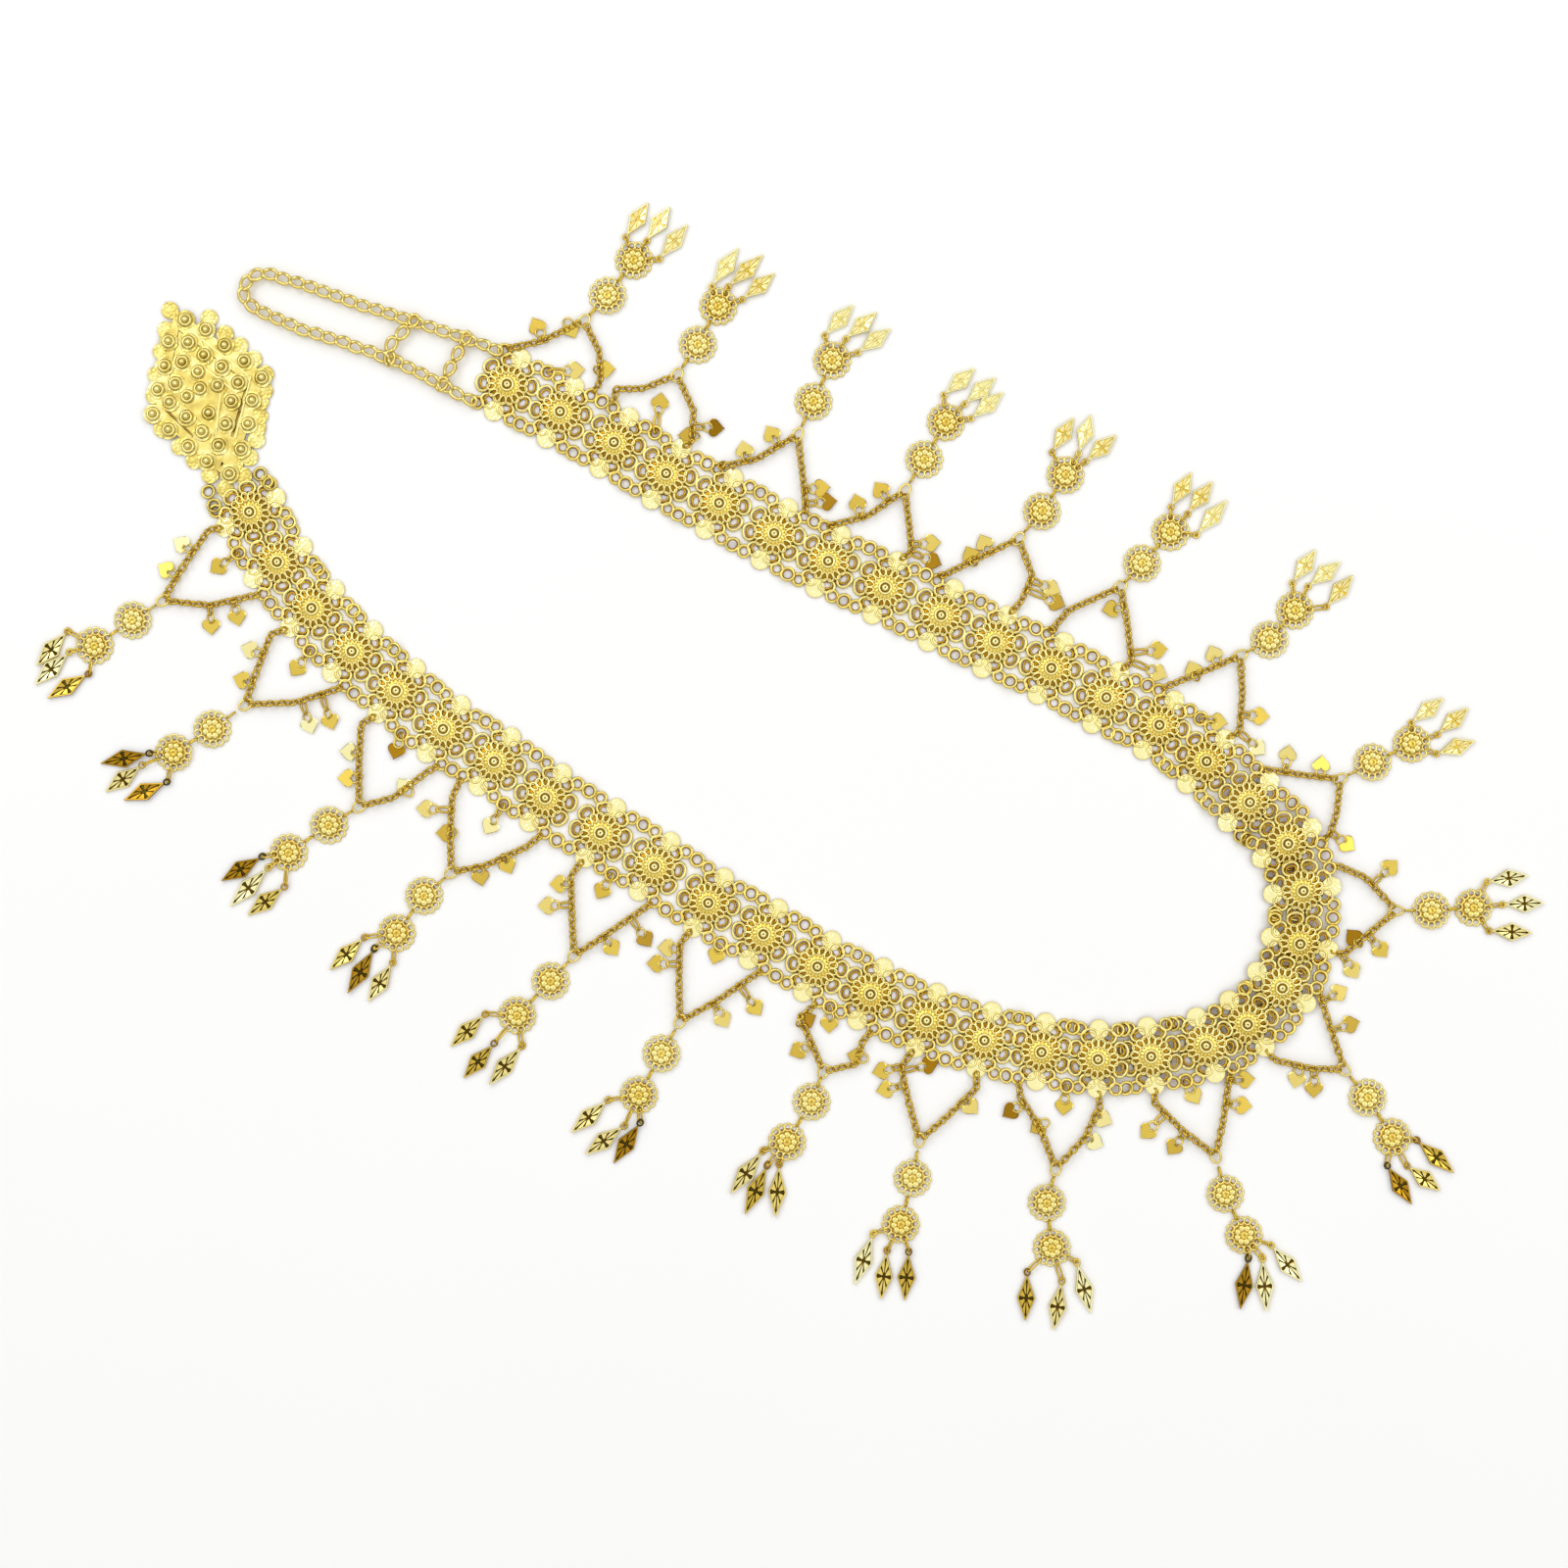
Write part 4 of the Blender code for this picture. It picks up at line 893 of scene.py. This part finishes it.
def slab(name, outline, low, high, recess, edge=0.2):
    # A flat plate with a small bevel on its upper edge
    middle = sum(outline, Vector((0, 0, 0))) / len(outline)
    count = len(outline)
    rows = ((1.0, low), (1.0, high - edge), (1 - edge * mm / (outline[0] - middle).length, high))
    verts = [tuple((middle + (spot - middle) * scale)[:2]) + (height * mm,) for scale, height in rows
             for spot in outline]
    mesh = meshOf(name, verts, walls(len(rows), count), recess, False)
    shape = bmesh.new()
    shape.from_mesh(mesh)
    bmesh.ops.recalc_face_normals(shape, faces=shape.faces)
    shape.to_mesh(mesh)
    shape.free()
    return mesh


def strip(name, start, end, width, low, high, recess):
    # A narrow slab from one place to another
    side = (end - start).normalized()
    side = Vector((-side.y, side.x, 0)) * width / 2 * mm
    return slab(name, [start - side, end - side, end + side, start + side], low, high, recess, 0.1)


def makeBuckle():
    layout = Layout()
    for spot in scallops:
        layout.put("scallop", at(spot), 0.35, dice.uniform(0, 6),
                   (dice.uniform(-3, 3), dice.uniform(-3, 3)), dice.uniform(-0.05, 0.25), 0.94)
    for row in bosses:
        for spot in row:
            layout.put("scallop", at(spot), 1.0, dice.uniform(0, 6),
                       (dice.uniform(-4, 4), dice.uniform(-4, 4)), dice.uniform(-0.15, 0.2), 1.05)
            layout.put("boss", at(spot), 1.75, 0.0, (dice.uniform(-4, 4), dice.uniform(-4, 4)),
                       dice.uniform(-0.1, 0.1), (0.92, 0.92, 0.9))
    for tab in buckle["tabs"]:
        for spot in tab:
            layout.put("jumpRing", at(spot), 1.2, dice.uniform(0, 3), (dice.uniform(-12, 12), 8), 0.35, 0.95)
    plates = [slab("plate", [at(spot) for spot in buckle[key]], *levels)
              for key, levels in zip(("corners", "inner", "centre"), buckle["plates"])]
    outer, inner = buckle["corners"], buckle["inner"]
    for i, gap in enumerate(buckle["frameGaps"]):
        k = (i + 1) % len(outer)
        a, b = at(outer[i]), at(outer[k])
        c, d = at(inner[k]).lerp(at(outer[k]), gap), at(inner[i]).lerp(at(outer[i]), gap)
        plates.append(slab("frame", [a, b, c, d], *buckle["frame"]))
    for name in ("ridge", "cover"):
        plates += [strip(name, at(start), at(end), *buckle[name]) for start, end in buckle[name + "s"]]
    extra = []
    for mesh in plates:
        mesh.materials.append(metals["buckleGold"])
        item = bpy.data.objects.new("plate", mesh)
        bpy.context.scene.collection.objects.link(item)
        extra.append(item)
    layout.piece("buckle_look", "buckleGold", ["buckle"], extra=extra)


# Ladder of curb chain: the middle line of each chain
ladder = {
    "upper": ((277, 281), (330, 298), (371, 313), (422, 329), (476, 347), (506, 358)),
    "lower": ((263, 317), (303, 335), (345, 348), (399, 367), (452, 393), (480, 409)),
    "end": ((276, 281), (258, 282), (248, 296), (252, 308), (262, 316)),
    "rungOne": ((422, 329), (397, 356), (399, 367)),
    "rungTwo": ((476, 347), (467, 364), (452, 393)),
    "height": 1.5, "rungLift": 0.3, "chain": {"pitch": 5.0, "roll": 6.0, "lean": 0.0},
}


def makeLadder():
    layout = Layout()
    around = ladder["upper"][::-1] + ladder["end"][1:-1] + ladder["lower"]
    layout.run([at(spot) for spot in around], ladder["height"], 0.0)
    for rung in ("rungOne", "rungTwo"):
        layout.run([at(spot) for spot in ladder[rung]], ladder["height"] + ladder["rungLift"], 0.05)
    layout.piece("ladder_look", "extenderGold",
                 ["extender_upper", "extender_lower", "extender_end", "extender_rung_1", "extender_rung_2"],
                 link="curbLink", chain=ladder["chain"])


makeBand()
print("band laid")
for index in range(len(swags)):
    makeTassel(index)
print("tassels laid")
makeBuckle()
makeLadder()
print("buckle and ladder laid")
for item in list(findings.objects):
    bpy.data.objects.remove(item)
bpy.data.collections.remove(findings)


# Floor, light and camera

setting = {"floor": 6.0, "floorTones": ((0.93, 0.93, 0.92, 1), (0.95, 0.95, 0.945, 1)), "floorDrop": 0.05,
           "cameraHeight": 1.1, "frameWidth": 0.576, "sensor": 36.0, "centre": (800, 800)}


def makeFloor():
    half = setting["floor"] / 2
    mesh = bpy.data.meshes.new("floor")
    corners = [(-half, -half, 0), (half, -half, 0), (half, half, 0), (-half, half, 0)]
    mesh.from_pydata(corners, [], [(0, 1, 2, 3)])
    material = bpy.data.materials.new("paleFloor")
    material.use_nodes = True
    tree = material.node_tree
    shader = tree.nodes["Principled BSDF"]
    where = add(tree, "ShaderNodeTexCoord")["Object"]
    noise = add(tree, "ShaderNodeTexNoise", {"Vector": where, "Scale": 4.0})[0]
    pale, paler = setting["floorTones"]
    tone = add(tree, "ShaderNodeMix", {"Factor": noise, 6: pale, 7: paler}, data_type="RGBA")[2]
    tree.links.new(tone, shader.inputs["Base Color"])
    shader.inputs["Roughness"].default_value = 0.9
    shader.inputs["Specular IOR Level"].default_value = 0.1
    mesh.materials.append(material)
    floor = bpy.data.objects.new("floor", mesh)
    floor.location.z = -setting["floorDrop"] * mm
    bpy.context.scene.collection.objects.link(floor)


# Brightness of the surroundings from the ground up to straight overhead
sky = ((0.3, 0.22), (0.5, 0.85), (0.85, 1.0))
lamps = {
    "keySoft": {"place": (-0.9, 0.7, 1.3), "size": 0.9, "power": 5.0},
    "fillSoft": {"place": (1.1, 0.2, 1.2), "size": 0.8, "power": 3.0},
    "backSoft": {"place": (0.2, 1.3, 0.9), "size": 0.7, "power": 2.0},
}


def makeLight():
    for name, lamp in lamps.items():
        light = bpy.data.lights.new(name, "AREA")
        light.size = lamp["size"]
        light.energy = lamp["power"]
        item = bpy.data.objects.new(name, light)
        item.location = lamp["place"]
        item.rotation_euler = (-Vector(lamp["place"])).to_track_quat("-Z", "Y").to_euler()
        bpy.context.scene.collection.objects.link(item)
    world = bpy.data.worlds.new("studio")
    bpy.context.scene.world = world
    world.use_nodes = True
    tree = world.node_tree
    height = add(tree, "ShaderNodeSeparateXYZ", {0: add(tree, "ShaderNodeTexCoord")["Generated"]})["Z"]
    ramp = add(tree, "ShaderNodeValToRGB", {"Fac": height})
    stops = ramp[0].node.color_ramp.elements
    stops[0].position, stops[0].color = 0.0, (0.10, 0.10, 0.10, 1)
    stops[1].position, stops[1].color = 1.0, (1, 1, 1, 1)
    for position, value in sky:
        stops.new(position).color = (value, value, value, 1)
    back = tree.nodes["Background"]
    tree.links.new(ramp["Color"], back.inputs["Color"])
    back.inputs["Strength"].default_value = 1.0


def makeCamera():
    centre = at(setting["centre"])
    data = bpy.data.cameras.new("overhead")
    data.sensor_width = setting["sensor"]
    data.lens = setting["sensor"] * setting["cameraHeight"] / setting["frameWidth"]
    data.clip_end = 50.0
    camera = bpy.data.objects.new("overhead", data)
    camera.location = (centre.x, centre.y, setting["cameraHeight"])
    bpy.context.scene.collection.objects.link(camera)
    bpy.context.scene.camera = camera
    bpy.context.scene.view_settings.view_transform = "Standard"


makeFloor()
makeLight()
makeCamera()
print("stage set")
